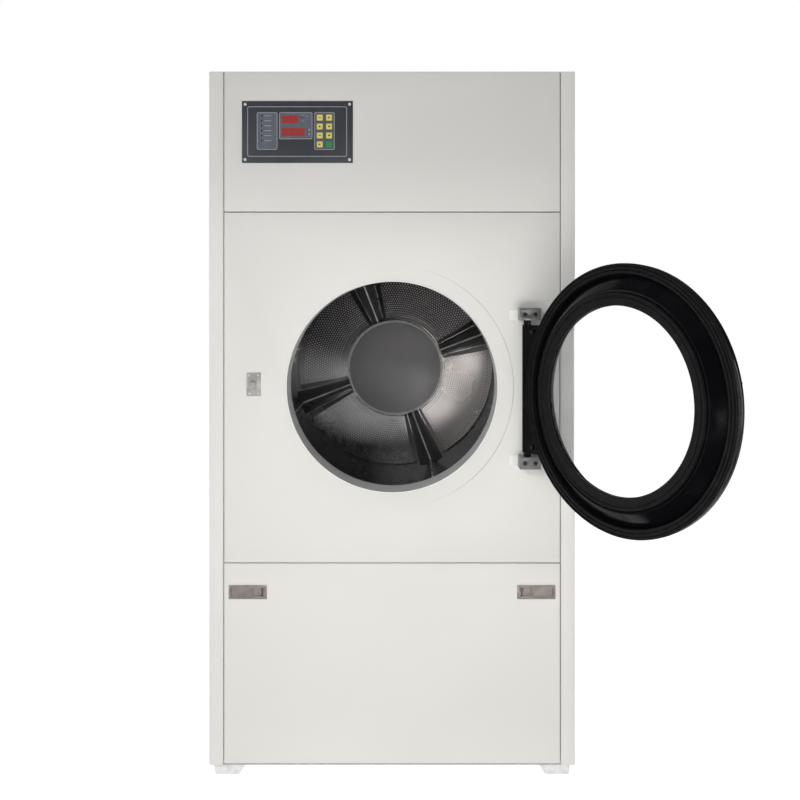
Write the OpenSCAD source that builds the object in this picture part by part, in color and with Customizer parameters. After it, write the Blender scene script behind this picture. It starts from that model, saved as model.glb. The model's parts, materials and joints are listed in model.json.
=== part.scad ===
// Industrial tumble dryer, door open. Millimetres, +Z up, the front faces -Y.
// The origin is on the floor, at the centre of the four anchor holes in the feet.

/* [Cabinet] */
// Width of the cabinet
cabinet_w = 1000; // [980:10:1100]
// Depth of the cabinet, front face to rear edge
cabinet_d = 1100; // [1080:10:1250]
// Height of the cabinet's top above the floor
cabinet_top = 1930; // [1900:10:2050]
// Height of the feet
foot_h = 35; // [25:1:60]
// Thickness of the cabinet sheet
sheet = 2; // [1.5:0.1:3]
// Width of the side panels' front returns
post_w = 39; // [34:1:45]
// Gap between neighbouring front panels
seam = 2.5; // [1.5:0.1:4]
// Height of the seam above the door panel
top_seam_z = 1546; // [1530:2:1580]
// Height of the seam below the door panel
low_seam_z = 587; // [575:1:600]
// Depth of the folded edges of the front panels
fold_d = 22; // [18:1:30]
// Radius of the folds that show
fold_r = 4; // [2.5:0.5:6]
// Size of the square frame tubes
tube = 32; // [25:1:36]
// Wall of the frame tubes
tube_wall = 2; // [1.5:0.1:3]
// Size of the square base tubes
base_tube = 50; // [40:1:55]

/* [Feet] */
// Length of a foot, front to back
foot_len = 90; // [70:5:120]
// Width of a foot where it meets the floor
foot_w = 66; // [50:1:75]
// Sheet of the feet
foot_sheet = 3; // [2:0.5:4]
// Diameter of the anchor holes
anchor_d = 14; // [10:1:18]
// Distance of a foot from the corner of the base
foot_inset = 6; // [0:1:12]

/* [Rear] */
// Width of the rear cover
cover_w = 640; // [600:10:700]
// Height of the rear cover's lower edge
cover_z0 = 660; // [640:5:700]
// Height of the rear cover's upper edge
cover_z1 = 1380; // [1340:5:1420]
// Depth of the rear cover
cover_d = 12; // [8:1:20]
// Width of the rear cover's edge on the rear panel
cover_edge = 25; // [15:1:35]
// Width of a louvre
louvre_w = 200; // [160:10:220]
// Distance between louvres
louvre_pitch = 24; // [20:1:30]
// Height of the lowest louvre
louvre_z = 1620; // [1600:5:1640]
// Height of a louvre's opening
louvre_h = 10; // [6:1:14]
// Number of louvres in a row
louvre_count = 8; // [4:1:8]
// Radius of the cable entry
gland_r = 16; // [10:0.5:20]
// Place of the cable entry, across and up
gland_at = [-380, 1800];

/* [Door opening] */
// Height of the drum and door axis
axis_z = 1068; // [1060:1:1080]
// Radius of the door opening
open_r = 288; // [278:1:296]
// Length of the collar, from the front face to the drum
collar_len = 102; // [95:1:115]
// Thickness of the collar
collar_t = 2.5; // [2:0.5:4]
// Width of the felt seal between collar and drum
felt_w = 12; // [8:1:16]
// Radial height of the felt seal
felt_h = 10; // [8:0.5:14]

/* [Drum] */
// Inner radius of the drum
drum_r = 392; // [385:1:396]
// Length of the drum
drum_len = 638; // [600:2:640]
// Thickness of the drum sheet
drum_t = 2; // [1.5:0.1:3]
// Height of the lifters
lifter_h = 60; // [40:1:75]
// Half of the lifters' width at the drum
lifter_half = 44; // [35:1:52]
// Angle of the first lifter, from the right-hand side
lifter_angle = 21; // [0:1:45]
// Height of the ribs on the back wall
rib_h = 30; // [20:1:34]
// Radius of the smooth centre disc
disc_r = 161; // [140:1:170]
// Height of the centre disc above the back wall
disc_h = 38; // [32:1:50]
// Outer radius of the perforated screens
screen_r = 330; // [310:1:336]
// Half angle of a perforated screen
screen_half = 38; // [34:0.5:39]
// Height of the screens above the back wall
screen_h = 18; // [10:1:24]
// Diameter of the holes in the screens
screen_hole_d = 13; // [6:1:15]
// Diameter of the holes in the drum
drum_hole_d = 16; // [8:1:20]
// Rows of holes along the drum
hole_rows = 7; // [3:1:9]
// Holes across, between two lifters
holes_across = 5; // [2:1:6]
// Angle between holes across
hole_angle = 14; // [10:0.5:15]
// Thickness of the screens
screen_t = 1.5; // [1:0.1:2]
// Distance between holes in the screens
screen_pitch = 24; // [20:1:30]

/* [Door] */
// Distance of the hinge axis from the middle of the cabinet
hinge_x = 365; // [360:1:372]
// Distance of the hinge axis in front of the front face
hinge_out = 40; // [38:1:48]
// Angle of the door as it stands open
door_open = 127.5; // [90:0.5:150]
// Outer radius of the door gasket
gasket_r = 331; // [326:1:333]
// Width of the door gasket
gasket_w = 26; // [18:1:28]
// Thickness of the door gasket
gasket_t = 12; // [8:1:14]
// Depth of the door from gasket face to outer face
door_t = 28; // [24:1:32]
// Radius of the ridge that enters the opening
ridge_r = 268; // [262:1:270]
// Height of the ridge beyond the gasket face
ridge_h = 15; // [8:1:20]
// Radius of the clear glass
glass_clear_r = 229; // [215:1:232]
// Thickness of the glass
glass_t = 6; // [4:0.5:8]
// Thickness of the pressed door sheet
door_sheet = 2.5; // [2:0.5:3]
// Radius of the hinge journals
journal_r = 6; // [5:0.5:7]
// Distance from the door's axis to each hinge block
hinge_half = 200; // [190:1:215]
// Width of a hinge block
block_w = 57; // [54:1:62]
// Height of a hinge block
block_h = 32; // [26:1:36]

/* [Door catch and handle] */
// Width of the catch plate
catch_w = 39; // [34:1:44]
// Height of the catch plate
catch_h = 64; // [56:1:70]
// Length of the catch nose
nose_len = 48; // [42:1:52]
// Length of the handle bar
handle_len = 110; // [90:5:120]
// Radius of the handle bar
handle_r = 8; // [6:0.5:10]
// Height of the handle bar above the door
handle_h = 40; // [36:1:46]

/* [Controls] */
// Width of the control overlay
overlay_w = 303; // [298:1:320]
// Height of the control overlay
overlay_h = 169; // [160:1:180]
// Thickness of the control overlay
overlay_t = 2.5; // [2:0.5:4]
// Distance of the overlay's centre from the control panel's left edge
overlay_in = 200; // [180:0.5:220]
// Distance of the overlay's centre below the cabinet's top
overlay_drop = 165.5; // [150:0.5:180]
// Width of a key
key_w = 16; // [12:0.5:18]
// Distance between keys, across
key_pitch_x = 25.5; // [22:0.5:30]
// Distance between keys, up and down
key_pitch_z = 24.4; // [22:0.1:28]
// Distance of the keys' middle from the overlay's right edge
keys_in = 77.5; // [60:0.5:90]
// Distance of the top keys below the overlay's top edge
keys_down = 45.3; // [30:0.1:55]
// Travel of a key
key_travel = 0.5; // [0.3:0.1:0.8]
// How far a key stands proud of the overlay
key_proud = 0.9; // [0.5:0.1:1.5]
// Display windows: left edge, top edge, width and height, from the overlay's corner
window_1 = [108, 39, 47, 22];
window_2 = [108, 73.5, 63.5, 22.5];
// How far the windows stand proud of the overlay
window_proud = 0.3; // [0:0.1:1]
// Depth of the control board's housing
board_d = 28; // [20:1:34]

/* [Lower panel] */
// Width of a flush latch
latch_w = 104; // [96:1:112]
// Height of a flush latch
latch_h = 38; // [34:1:44]
// Distance of a latch's middle from the lower panel's edge
latch_in = 64.5; // [60:0.5:80]
// Distance of the latches below the seam
latch_drop = 79; // [60:1:100]
// Depth of the latch recess
latch_d = 14; // [10:1:16]
// Thickness of a latch lever
lever_t = 3; // [2:0.5:4]
// Inner width of the lint drawer
drawer_w = 500; // [420:10:540]
// Height of the lint drawer
drawer_h = 55; // [45:1:60]
// Height of the lint shelf
shelf_z = 398; // [396:1:410]

/* [Drive] */
// Radius of the drum shaft
shaft_r = 30; // [25:1:32]
// Radius of the drum pulley
drum_pulley_r = 215; // [180:1:220]
// Radius of the countershaft's large pulley
counter_big_r = 180; // [150:1:185]
// Radius of the countershaft's small pulley
counter_small_r = 30; // [26:1:36]
// Radius of the motor pulley
motor_pulley_r = 35; // [30:1:45]
// Radius of the countershaft
counter_shaft_r = 14; // [10:1:16]
// Countershaft's place left of the drum axis
counter_x = 270; // [262:1:280]
// Countershaft's place below the drum axis
counter_drop = 308; // [304:1:318]
// Motor's place right of the drum axis
motor_x = 230; // [200:5:260]
// Motor's place below the drum axis
motor_drop = 330; // [320:1:345]
// Radius of the motor body
motor_r = 80; // [65:1:85]
// Width of the drive belts
belt_w = 14; // [10:1:18]
// Thickness of the drive belts
belt_t = 8; // [6:0.5:10]

/* [Blower] */
// Distance of the blower left of the cabinet's middle
blower_x = 150; // [140:5:180]
// Height of the blower's axis
blower_z = 240; // [235:1:245]
// Inner width of the blower housing
blower_w = 146; // [120:2:160]
// Radius of the blower wheel
wheel_r = 92; // [80:1:94]
// Number of blower blades
blade_count = 20; // [12:1:28]
// Smallest radius of the volute
volute_r0 = 105; // [100:1:108]
// Largest radius of the volute
volute_r1 = 145; // [140:1:148]
// Outer radius of the exhaust spigot
spigot_r = 75; // [60:1:76]
// Length of the exhaust spigot behind the cabinet
spigot_len = 60; // [40:5:100]

/* [Hidden] */
$fn = 96;

// Named clearances
fit = 0.05;     // radial, running shafts
clear = 0.3;    // pieces of different bodies
weld = 0.2;     // pieces of one body
eps = 1;        // extra length of a cutter

// Cabinet planes
half_w = cabinet_w / 2;
front = cabinet_d / 2;
side_in = half_w - sheet;
rear_in = front - 2 * sheet;
frame_rear = rear_in - 2 * weld;
rear_half = half_w - fold_r - 1;
top_in = cabinet_top - sheet;
frame_front = -front + fold_d;
panel_half = half_w - post_w - seam;
pan_z = foot_h + base_tube;
pan_top = pan_z + weld + sheet;
rail_z = top_in - tube;
bar_half = tube / 2;

// Planes along the drum axis, measured from the middle towards the front
drum_front = front - collar_len;
drum_rear = drum_front - drum_len;
lip_r = open_r + collar_t + felt_h + clear + weld;
wall_face = drum_rear + drum_t;
wall_flange = 14;
screen_face = wall_face + screen_h;
screen_in = disc_r + 5;
spider_t = 12;
spider_half = 30;
spider_z = drum_rear - spider_t;
hub_r = 120;
hub_z = spider_z - 8;
bulk_front = hub_z - 26;
bulk_t = 3;
bulk_rear = bulk_front - bulk_t;
barrel_r = 62;
barrel_flange = 45;
flange_t = 12;
gusset_len = 60;
shell_bend = 6;
barrel_front = hub_z - 8;
barrel_rear = bulk_rear - 130;
lifter_foot = sqrt(pow(drum_r - weld, 2) - pow(lifter_half, 2));
lifter_top = drum_r - lifter_h;
shroud_gap = 30;
shroud_r = drum_r + drum_t + shroud_gap;
chute_w = 480;
chute_front = drum_front - 30;
chute_rear = drum_rear + 72;
heater_w = 520;
heater_rear = bulk_front + 36;
heater_front = heater_rear + 350;
heater_top = cabinet_top - 220;
coil_z = heater_top - 100;
coil_r = 9;
coil_pitch = 48;
coil_runs = 6;
coil_half = heater_w / 2 - 50;

// Door, as closed: distances beyond the front face
door_face = front + clear;
hinge_y = -front - hinge_out;
door_outer = door_face + door_t;
rim_r = gasket_r - 1.5;
seat_r = gasket_r - gasket_w;
cone_r = seat_r - 2;
glass_r = glass_clear_r + 14;
ridge_z = door_face - ridge_h;
inner_wall_r = glass_clear_r + 21;
bar_w = 14;
leaf_t = hinge_out - clear - door_t - bar_w / 2;
bar_half_len = hinge_half - block_h / 2 - clear;
block_x = hinge_x + 7;
block_d = hinge_out + journal_r + 9;
screw_gap = 28;
screw_in = 9;
head_r = 5.5;
head_d = 7;
shank_r = 3;
journal_len = 10;
catch_t = 2;

// Catch and handle
catch_x = gasket_r + 47;
catch_z = axis_z + 7.5;
nose_w = 12;
nose_h = 14;
slot_clear = 3;
slot_half = nose_w / 2 + slot_clear;
handle_x = gasket_r - 46;
hook_t = 3;
hook_len = catch_x - handle_x + 2 * slot_half;
hook_web = 20;
hook_claw = 14;
spindle_r = 8;
boss_r = 12;
boss_len = 13;
washer_t = 2;

// Controls
overlay_x = panel_half - overlay_in;
overlay_z = cabinet_top - overlay_drop;
overlay_face = -front - overlay_t;
board_face = -front + clear;
keys_x = -overlay_x + overlay_w / 2 - keys_in;
keys_z = overlay_z + overlay_h / 2 - keys_down;
cut_margin = 14;

// Lower panel
low_panel_z0 = foot_h + 2;
low_panel_z1 = low_seam_z - seam / 2;
latch_x = panel_half - latch_in;
latch_z = low_seam_z - latch_drop;
hem_r = 5;
hem_back = 1.4;
pivot_r = 2;
pivot_len = seam + sheet + 1;
pivot_y = hem_r - front;
pivot_z = low_panel_z0 + hem_r;
shelf_front = frame_front;
lever_len = 56;
lever_h = 24;
lever_x0 = -latch_w / 2 + 7;
lever_pin_x = lever_x0 + 3;
lever_pin_y = -front + 1.5;
lever_pin_r = 1.5;
lever_proud = 1.5;
frame_t = 2;
button_w = 20;
button_h = 20;
button_x0 = lever_x0 + lever_len + 5;
drawer_front = frame_front + 4;
drawer_rear = -chute_rear + 14;
drawer_top = shelf_z - 4;
runner_t = 2;

// Drive planes, measured like the drum's
belt_1_z = bulk_rear - 94;
belt_2_z = belt_1_z - 76;
flange = 4;
groove_w = belt_w + 2;
pulley_w = groove_w + 2 * flange;
rim_t = 14;
web_half = 5;
hub_proud = 4;
counter = [-counter_x, -counter_drop];
motor_at = [motor_x, -motor_drop];
counter_end = belt_2_z - pulley_w / 2 - 6;
shaft_end = belt_2_z - pulley_w / 2 - 14;
counter_barrel_r = 38;
counter_barrel_len = 60;
counter_bearing_r = counter_barrel_r - 8;
drum_bearing_r = shaft_r + 25;
bearing_w = 24;
motor_front = belt_1_z - pulley_w / 2 - 8;
motor_rear = -rear_in + 16;
motor_foot_h = 18;
motor_shaft_r = 12;
motor_end = 25;
terminal_half = 32;
shelf_half = 95;
shelf_t = 4;
motor_shelf_z = axis_z - motor_drop - motor_r - motor_foot_h;

// Blower
blower_y = 330;
blower_wall = 2;
spigot_z = 305;
fan_shaft_r = 10;
fan_motor_r = 62;
fan_motor_x0 = -blower_x + blower_w / 2 + blower_wall + 12;
fan_motor_x1 = fan_motor_x0 + 170;
volute_out = rear_in - blower_y;
cut_angle = 20;
volute_foot = volute_r0 + (volute_r1 - volute_r0) * (90 + cut_angle) / (270 + cut_angle);

// Colours
paint = [0.86, 0.86, 0.84];
steel = [0.72, 0.73, 0.75];
zinc = [0.66, 0.67, 0.68];
black = [0.04, 0.04, 0.045];
grey = [0.45, 0.46, 0.48];

// Shapes of sheet metal and outlines
function unit(v) = v / norm(v);
function arc(c, r, a0, a1, n) = [for (i = [0:n]) let (a = a0 + (a1 - a0) * i / n) c + r * [cos(a), sin(a)]];
function corner(a, p, b, r, n) =
    let (u = unit(a - p), v = unit(b - p), h = acos(u * v) / 2, s = r / tan(h))
    let (c = p + unit(u + v) * r / sin(h), d0 = p + u * s - c, d1 = p + v * s - c)
    [for (i = [0:n]) c + r * unit(d0 * (n - i) / n + d1 * i / n)];
function rounded(p, r, n = 3) = concat([p[0]],
    [for (i = [1:len(p) - 2]) each corner(p[i - 1], p[i], p[i + 1], r, n)], [p[len(p) - 1]]);
function side_of(p, i) = let (d = unit(p[i + 1] - p[i])) [-d[1], d[0]];
function shifted(p, t) = [for (i = [0:len(p) - 1])
    let (a = side_of(p, max(i - 1, 0)), b = side_of(p, min(i, len(p) - 2)))
    p[i] + t * (a + b) / (1 + a * b)];
function reversed(p) = [for (i = [len(p) - 1:-1:0]) p[i]];
function strip(p, t) = concat(p, reversed(shifted(p, t)));

module block(lo, hi) translate(lo) cube([for (i = [0:2]) hi[i] - lo[i]]);

// Square tube between two corners, open along one axis
module square_tube(lo, hi, axis) {
    pad = [for (i = [0:2]) i == axis ? -eps : tube_wall];
    difference() {
        block(lo, hi);
        block(lo + pad, hi - pad);
    }
}

// The drum axis: the plane of a front view, with z towards the front
module on_axis(at = [0, 0]) translate([at[0], 0, axis_z + at[1]]) rotate([90, 0, 0]) children();

module turned(points) rotate_extrude() polygon(points);

module disc(r, z0, z1) translate([0, 0, z0]) cylinder(r = r, h = z1 - z0);

module ring(r0, r1, z0, z1) difference() {
    disc(r1, z0, z1);
    disc(r0, z0 - eps, z1 + eps);
}

// Everything on the door is drawn closed and swung open here
module swung() translate([hinge_x, hinge_y, 0]) rotate([0, 0, door_open]) translate([-hinge_x, -hinge_y, 0])
    children();

// Folded tray with its face towards the front
module tray(x, z0, z1, depth) difference() {
    block([-x, -front, z0], [x, -front + depth, z1]);
    block([-x + sheet, -front + sheet, z0 + sheet], [x - sheet, -front + depth + eps, z1 - sheet]);
}

// Welded frame: base tubes, floor pan, uprights, top rails, crossbars and the lower panel's ledge
module cabinet_frame() color(zinc) {
    for (y = [frame_front, frame_rear - base_tube])
        square_tube([-side_in, y, foot_h], [side_in, y + base_tube, pan_z], 0);
    for (x = [-side_in, side_in - base_tube])
        square_tube([x, frame_front + base_tube + weld, foot_h],
            [x + base_tube, frame_rear - base_tube - weld, pan_z], 1);
    block([-side_in, frame_front, pan_z + weld], [side_in, frame_rear, pan_top]);
    for (x = [-side_in, side_in - tube], y = [frame_front, frame_rear - tube])
        square_tube([x, y, pan_top + weld], [x + tube, y + tube, rail_z - weld], 2);
    for (y = [frame_front, frame_rear - tube])
        square_tube([-side_in, y, rail_z], [side_in, y + tube, top_in], 0);
    for (x = [-side_in, side_in - tube])
        square_tube([x, frame_front + tube + weld, rail_z], [x + tube, frame_rear - tube - weld, top_in], 1);
    for (z = [low_seam_z, top_seam_z])
        square_tube([-side_in + tube + weld, frame_front, z - bar_half],
            [side_in - tube - weld, frame_front + tube, z + bar_half], 0);
    block([-half_w + post_w, -front + sheet, foot_h],
        [half_w - post_w, frame_front - weld, foot_h + sheet - clear]);
}

// Hat-shaped sheet foot with a closed front and one anchor hole
module foot() {
    outer = side_in - foot_inset;
    slope = 6;
    reach = 21;
    inner = outer - slope - foot_w;
    path = [[outer, foot_h], [outer - slope, 0], [inner, 0], [inner - reach, foot_h]];
    difference() {
        union() {
            rotate([90, 0, 0]) translate([0, 0, -foot_len / 2]) linear_extrude(foot_len)
                polygon(strip(path, -foot_sheet));
            translate([0, -foot_len / 2 + foot_sheet, 0]) rotate([90, 0, 0]) linear_extrude(foot_sheet)
                polygon(path);
        }
        translate([outer - slope - foot_w / 2, 0, -eps]) cylinder(d = anchor_d, h = foot_sheet + 2 * eps);
        block([0, -foot_len, foot_h], [half_w, foot_len, foot_h + 5]);
    }
}

module corner_feet() color([0.8, 0.81, 0.8]) for (mx = [0, 1], my = [0, 1])
    mirror([mx, 0, 0]) mirror([0, my, 0]) translate([0, frame_front + foot_len / 2, 0]) foot();

// Side sheet folded round the front corner into the post, with a hole for the lower panel's pivot pin
module side_panel(s) color(paint) mirror([s, 0, 0]) difference() {
    translate([0, 0, foot_h]) linear_extrude(top_in - foot_h) polygon(strip(rounded([
        [-half_w + post_w, frame_front], [-half_w + post_w, -front], [-half_w, -front],
        [-half_w, front], [-half_w + tube, front]], fold_r), -sheet));
    translate([-half_w + post_w - sheet - eps, pivot_y, pivot_z]) rotate([0, 90, 0])
        cylinder(r = pivot_r + clear, h = sheet + 2 * eps);
}

module side_panel_left() side_panel(0);
module side_panel_right() side_panel(1);

module top_panel() {
    r = 6;
    x = half_w - r;
    y = front - r;
    color(paint) translate([0, 0, top_in]) linear_extrude(sheet) polygon(concat(
        arc([x, y], r, 0, 90, 4), arc([-x, y], r, 90, 180, 4),
        arc([-x, -y], r, 180, 270, 4), arc([x, -y], r, 270, 360, 4)));
}

// Rear sheet with the air inlet louvres, the drive opening and the exhaust hole
module through_rear(x, z, r) translate([x, rear_in - eps, z]) rotate([-90, 0, 0])
    cylinder(r = r, h = sheet + 2 * eps);

module rear_panel() color(paint) {
    louvres_x = [-louvre_w - louvre_h * 2, louvre_h * 2];
    difference() {
        block([-rear_half, rear_in, foot_h], [rear_half, rear_in + sheet, top_in]);
        block([-cover_w / 2 + cover_edge, rear_in - eps, cover_z0 + cover_edge],
            [cover_w / 2 - cover_edge, rear_in + sheet + eps, cover_z1 - cover_edge]);
        through_rear(-blower_x, spigot_z, spigot_r);
        through_rear(gland_at[0], gland_at[1], gland_r);
        for (x = louvres_x, i = [0:louvre_count - 1])
            translate([x, rear_in - eps, louvre_z + i * louvre_pitch])
                cube([louvre_w, sheet + 2 * eps, louvre_h]);
    }
    for (x = louvres_x, i = [0:louvre_count - 1])
        translate([x - eps, rear_in + sheet - 1.5, louvre_z + louvre_h + i * louvre_pitch + 0.4])
            rotate([-55, 0, 0]) cube([louvre_w + 2 * eps, louvre_h + 4, 1.2]);
}

// Removable cover over the drive, with cooling slots
module rear_cover() color(paint) {
    slot = [200, 8];
    slot_pitch = 22;
    slot_gap = 20;
    difference() {
        block([-cover_w / 2, rear_in + sheet, cover_z0], [cover_w / 2, rear_in + sheet + cover_d, cover_z1]);
        block([-cover_w / 2 + sheet, rear_in, cover_z0 + sheet],
            [cover_w / 2 - sheet, rear_in + cover_d, cover_z1 - sheet]);
        for (x = [-slot[0] - slot_gap, slot_gap], i = [0:5])
            translate([x, rear_in, cover_z0 + 2.5 * cover_edge + i * slot_pitch])
                cube([slot[0], cover_d + sheet + eps, slot[1]]);
    }
}

module control_panel() color(paint) difference() {
    tray(panel_half, top_seam_z + seam / 2, top_in, fold_d);
    block([-overlay_x - overlay_w / 2 + cut_margin, -front - eps, overlay_z - overlay_h / 2 + cut_margin],
        [-overlay_x + overlay_w / 2 - cut_margin, -front + sheet + eps,
            overlay_z + overlay_h / 2 - cut_margin]);
}

module front_panel() color(paint) difference() {
    tray(panel_half, low_seam_z + seam / 2, top_seam_z - seam / 2, fold_d);
    on_axis() disc(open_r + collar_t + weld, front - sheet - eps, front + eps);
}

// Collar that leads into the drum, flanged behind the front sheet
module door_collar() color(paint) on_axis() turned([
    [open_r, front], [open_r + collar_t, front], [open_r + collar_t, front - sheet],
    [open_r + 24, front - sheet], [open_r + 24, front - 2 * sheet], [open_r + collar_t, front - 2 * sheet],
    [open_r + collar_t, drum_front - 4], [open_r, drum_front - 4]]);

// Felt ring on the collar, inside the drum's front lip
module collar_seal() color([0.55, 0.53, 0.48]) on_axis()
    ring(open_r + collar_t + weld, lip_r - clear, drum_front - felt_w, drum_front - 1);

// A window-shaped block, grown at its edges, from y0 to y1
module overlay_spot(w, grow, y0, y1) block(
    [-overlay_x - overlay_w / 2 + w[0] - grow, y0, overlay_z + overlay_h / 2 - w[1] - w[3] - grow],
    [-overlay_x - overlay_w / 2 + w[0] + w[2] + grow, y1, overlay_z + overlay_h / 2 - w[1] + grow]);

function key_at(i) = [keys_x + (i % 2 - 0.5) * key_pitch_x, keys_z - floor(i / 2) * key_pitch_z];

module key_spot(i, grow, y0, y1) block([key_at(i)[0] - key_w / 2 - grow, y0, key_at(i)[1] - key_w / 2 - grow],
    [key_at(i)[0] + key_w / 2 + grow, y1, key_at(i)[1] + key_w / 2 + grow]);

// Control overlay with holes for the keys and the two display windows
module control_overlay() color([0.18, 0.2, 0.23]) difference() {
    block([-overlay_x - overlay_w / 2, overlay_face, overlay_z - overlay_h / 2],
        [-overlay_x + overlay_w / 2, -front, overlay_z + overlay_h / 2]);
    for (w = [window_1, window_2]) overlay_spot(w, weld, overlay_face - eps, -front + eps);
    for (i = [0:7]) key_spot(i, clear, overlay_face - eps, -front + eps);
}

module display_windows() color([0.55, 0.2, 0.2]) for (w = [window_1, window_2])
    overlay_spot(w, 0, overlay_face - window_proud, -front);

// Membrane key i, a little proud of the overlay
module key(i) color(i == 7 ? [0.2, 0.55, 0.3] : [0.82, 0.75, 0.35])
    key_spot(i, 0, overlay_face - key_proud, board_face - clear - key_travel);

module key_1() key(0);
module key_2() key(1);
module key_3() key(2);
module key_4() key(3);
module key_5() key(4);
module key_6() key(5);
module key_7() key(6);
module key_8() key(7);

// Board and its housing behind the overlay, with three plugs on its back
module control_board() color([0.2, 0.35, 0.25]) {
    x = overlay_w / 2 - cut_margin - 1;
    z = overlay_h / 2 - cut_margin - 1;
    plug = [44, 12, 16];
    plug_pitch = 70;
    block([-overlay_x - x, board_face, overlay_z - z], [-overlay_x + x, board_face + board_d, overlay_z + z]);
    for (i = [-1:1])
        translate([-overlay_x + i * plug_pitch - plug[0] / 2, board_face + board_d, overlay_z - 2 * plug[2]])
            cube(plug);
}

// Screw head towards the front, with a socket
module screw_head(x, z, y, r, h, socket = 0) translate([x, y, z]) rotate([90, 0, 0]) difference() {
    cylinder(r = r, h = h, $fn = 32);
    if (socket > 0) translate([0, 0, h - socket]) cylinder(r = r * 0.5, h = socket + eps, $fn = 6);
}

// Screws of the overlay, the door catch and the hinge blocks
module front_screws() color(steel) {
    small_r = 4;
    catch_screw_r = 3.2;
    for (x = [-1, 1], z = [-1, 1]) {
        screw_head(-overlay_x + x * (overlay_w / 2 - screw_in), overlay_z + z * (overlay_h / 2 - screw_in),
            overlay_face, small_r, 1.6);
        screw_head(-catch_x + x * (catch_w / 2 - 7), catch_z + z * (catch_h / 2 - 7),
            -front - catch_t, catch_screw_r, 1.4);
    }
    for (s = [-1, 1], x = [-1, 1]) {
        screw_head(block_x + x * screw_gap / 2, axis_z + s * hinge_half, -front - block_d + head_d,
            head_r, head_d - 2, 3);
        screw_head(block_x + x * screw_gap / 2, axis_z + s * hinge_half, -front, shank_r, block_d - head_d);
    }
}

// Two blocks that hold the hinge journals in blind bores
module hinge_blocks() color(grey) for (s = [-1, 1]) difference() {
    translate([0, 0, axis_z + s * hinge_half]) difference() {
        block([block_x - block_w / 2, -front - block_d, -block_h / 2],
            [block_x + block_w / 2, -front, block_h / 2]);
        for (x = [-1, 1]) translate([block_x + x * screw_gap / 2, -front + eps, 0]) rotate([90, 0, 0]) {
            cylinder(r = shank_r + weld, h = block_d + 2 * eps, $fn = 32);
            translate([0, 0, block_d - head_d + eps]) cylinder(r = head_r + 0.5, h = head_d + eps, $fn = 32);
        }
    }
    translate([hinge_x, hinge_y,
        axis_z + s * (hinge_half - (block_h - journal_len) / 2) - journal_len / 2 - eps])
        cylinder(r = journal_r + fit, h = journal_len + 2 * eps);
}

// Catch plate with a wedge-shaped nose for the handle's hook
module door_catch() color(steel) {
    block([-catch_x - catch_w / 2, -front - catch_t, catch_z - catch_h / 2],
        [-catch_x + catch_w / 2, -front, catch_z + catch_h / 2]);
    translate([-catch_x - nose_w / 2, 0, catch_z]) rotate([90, 0, 90]) linear_extrude(nose_w)
        polygon([[-front - catch_t, -nose_h / 2], [-front - catch_t, nose_h / 2],
            [-front - nose_len + 16, nose_h / 2],
            [-front - nose_len, -nose_h / 2 + 4], [-front - nose_len, -nose_h / 2]]);
}

// Lower panel with a rounded lower edge about the two pivot pins, and a cut-out for each flush latch
module hemmed(x, in, depth) translate([-x, 0, 0]) rotate([90, 0, 90]) linear_extrude(2 * x) polygon(concat(
    [[depth - front - hem_back, low_panel_z0 + in], [depth - front, pivot_z],
        [depth - front, low_panel_z1 - in], [in - front, low_panel_z1 - in]],
    arc([pivot_y, pivot_z], hem_r - in, 180, 270, 6)));

module lower_panel() color(paint) {
    difference() {
        hemmed(panel_half, 0, fold_d - clear);
        hemmed(panel_half - sheet, sheet, fold_d + eps);
        for (s = [-1, 1]) block([s * latch_x - latch_w / 2 + 3, -front - eps, latch_z - latch_h / 2 + 3],
            [s * latch_x + latch_w / 2 - 3, -front + sheet + eps, latch_z + latch_h / 2 - 3]);
    }
    for (x = [-panel_half - pivot_len, panel_half - sheet / 2])
        translate([x, pivot_y, pivot_z]) rotate([0, 90, 0]) cylinder(r = pivot_r, h = pivot_len + sheet / 2);
}

// Left-hand latch, outer end to the left; the right-hand one is its mirror image
module latch(s) mirror([s, 0, 0]) translate([-latch_x, 0, latch_z]) children();

module latch_frame() difference() {
    union() {
        block([-latch_w / 2, -front - frame_t, -latch_h / 2], [latch_w / 2, -front, latch_h / 2]);
        block([-latch_w / 2 + 3.5, -front - eps, -latch_h / 2 + 3.5],
            [latch_w / 2 - 3.5, -front + latch_d, latch_h / 2 - 3.5]);
    }
    block([lever_x0 - clear, -front - frame_t - eps, -lever_h / 2 - clear],
        [lever_x0 + lever_len + clear + 1, -front + latch_d - 2, lever_h / 2 + clear]);
    block([button_x0 - clear, -front - frame_t - eps, -button_h / 2 - clear],
        [button_x0 + button_w + clear, -front + latch_d - 2, button_h / 2 + clear]);
    block([latch_w / 2 - 14, -front - frame_t - eps, -lever_h / 2],
        [latch_w / 2 - 9, -front + latch_d - 4, lever_h / 2]);
    translate([lever_pin_x, lever_pin_y, -lever_h / 2 - 2]) cylinder(r = lever_pin_r + fit, h = lever_h + 4);
}

module latch_frames() color(grey) for (s = [0, 1]) latch(s) latch_frame();

module latch_lever() {
    difference() {
        block([lever_x0 + 3, -front - lever_proud, -lever_h / 2],
            [lever_x0 + lever_len, -front + lever_t - lever_proud, lever_h / 2]);
        block([lever_x0 + lever_len - 8, -front - lever_proud - eps, -lever_h / 2 + 4],
            [lever_x0 + lever_len - 5, -front - lever_proud + 1, lever_h / 2 - 4]);
    }
    translate([lever_pin_x, lever_pin_y, -lever_h / 2]) cylinder(r = 3, h = lever_h, $fn = 32);
    translate([lever_pin_x, lever_pin_y, -lever_h / 2 - 1.7]) cylinder(r = lever_pin_r, h = lever_h + 3.4);
}

module latch_lever_left() color(zinc) latch(0) latch_lever();
module latch_lever_right() color(zinc) latch(1) latch_lever();

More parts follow.
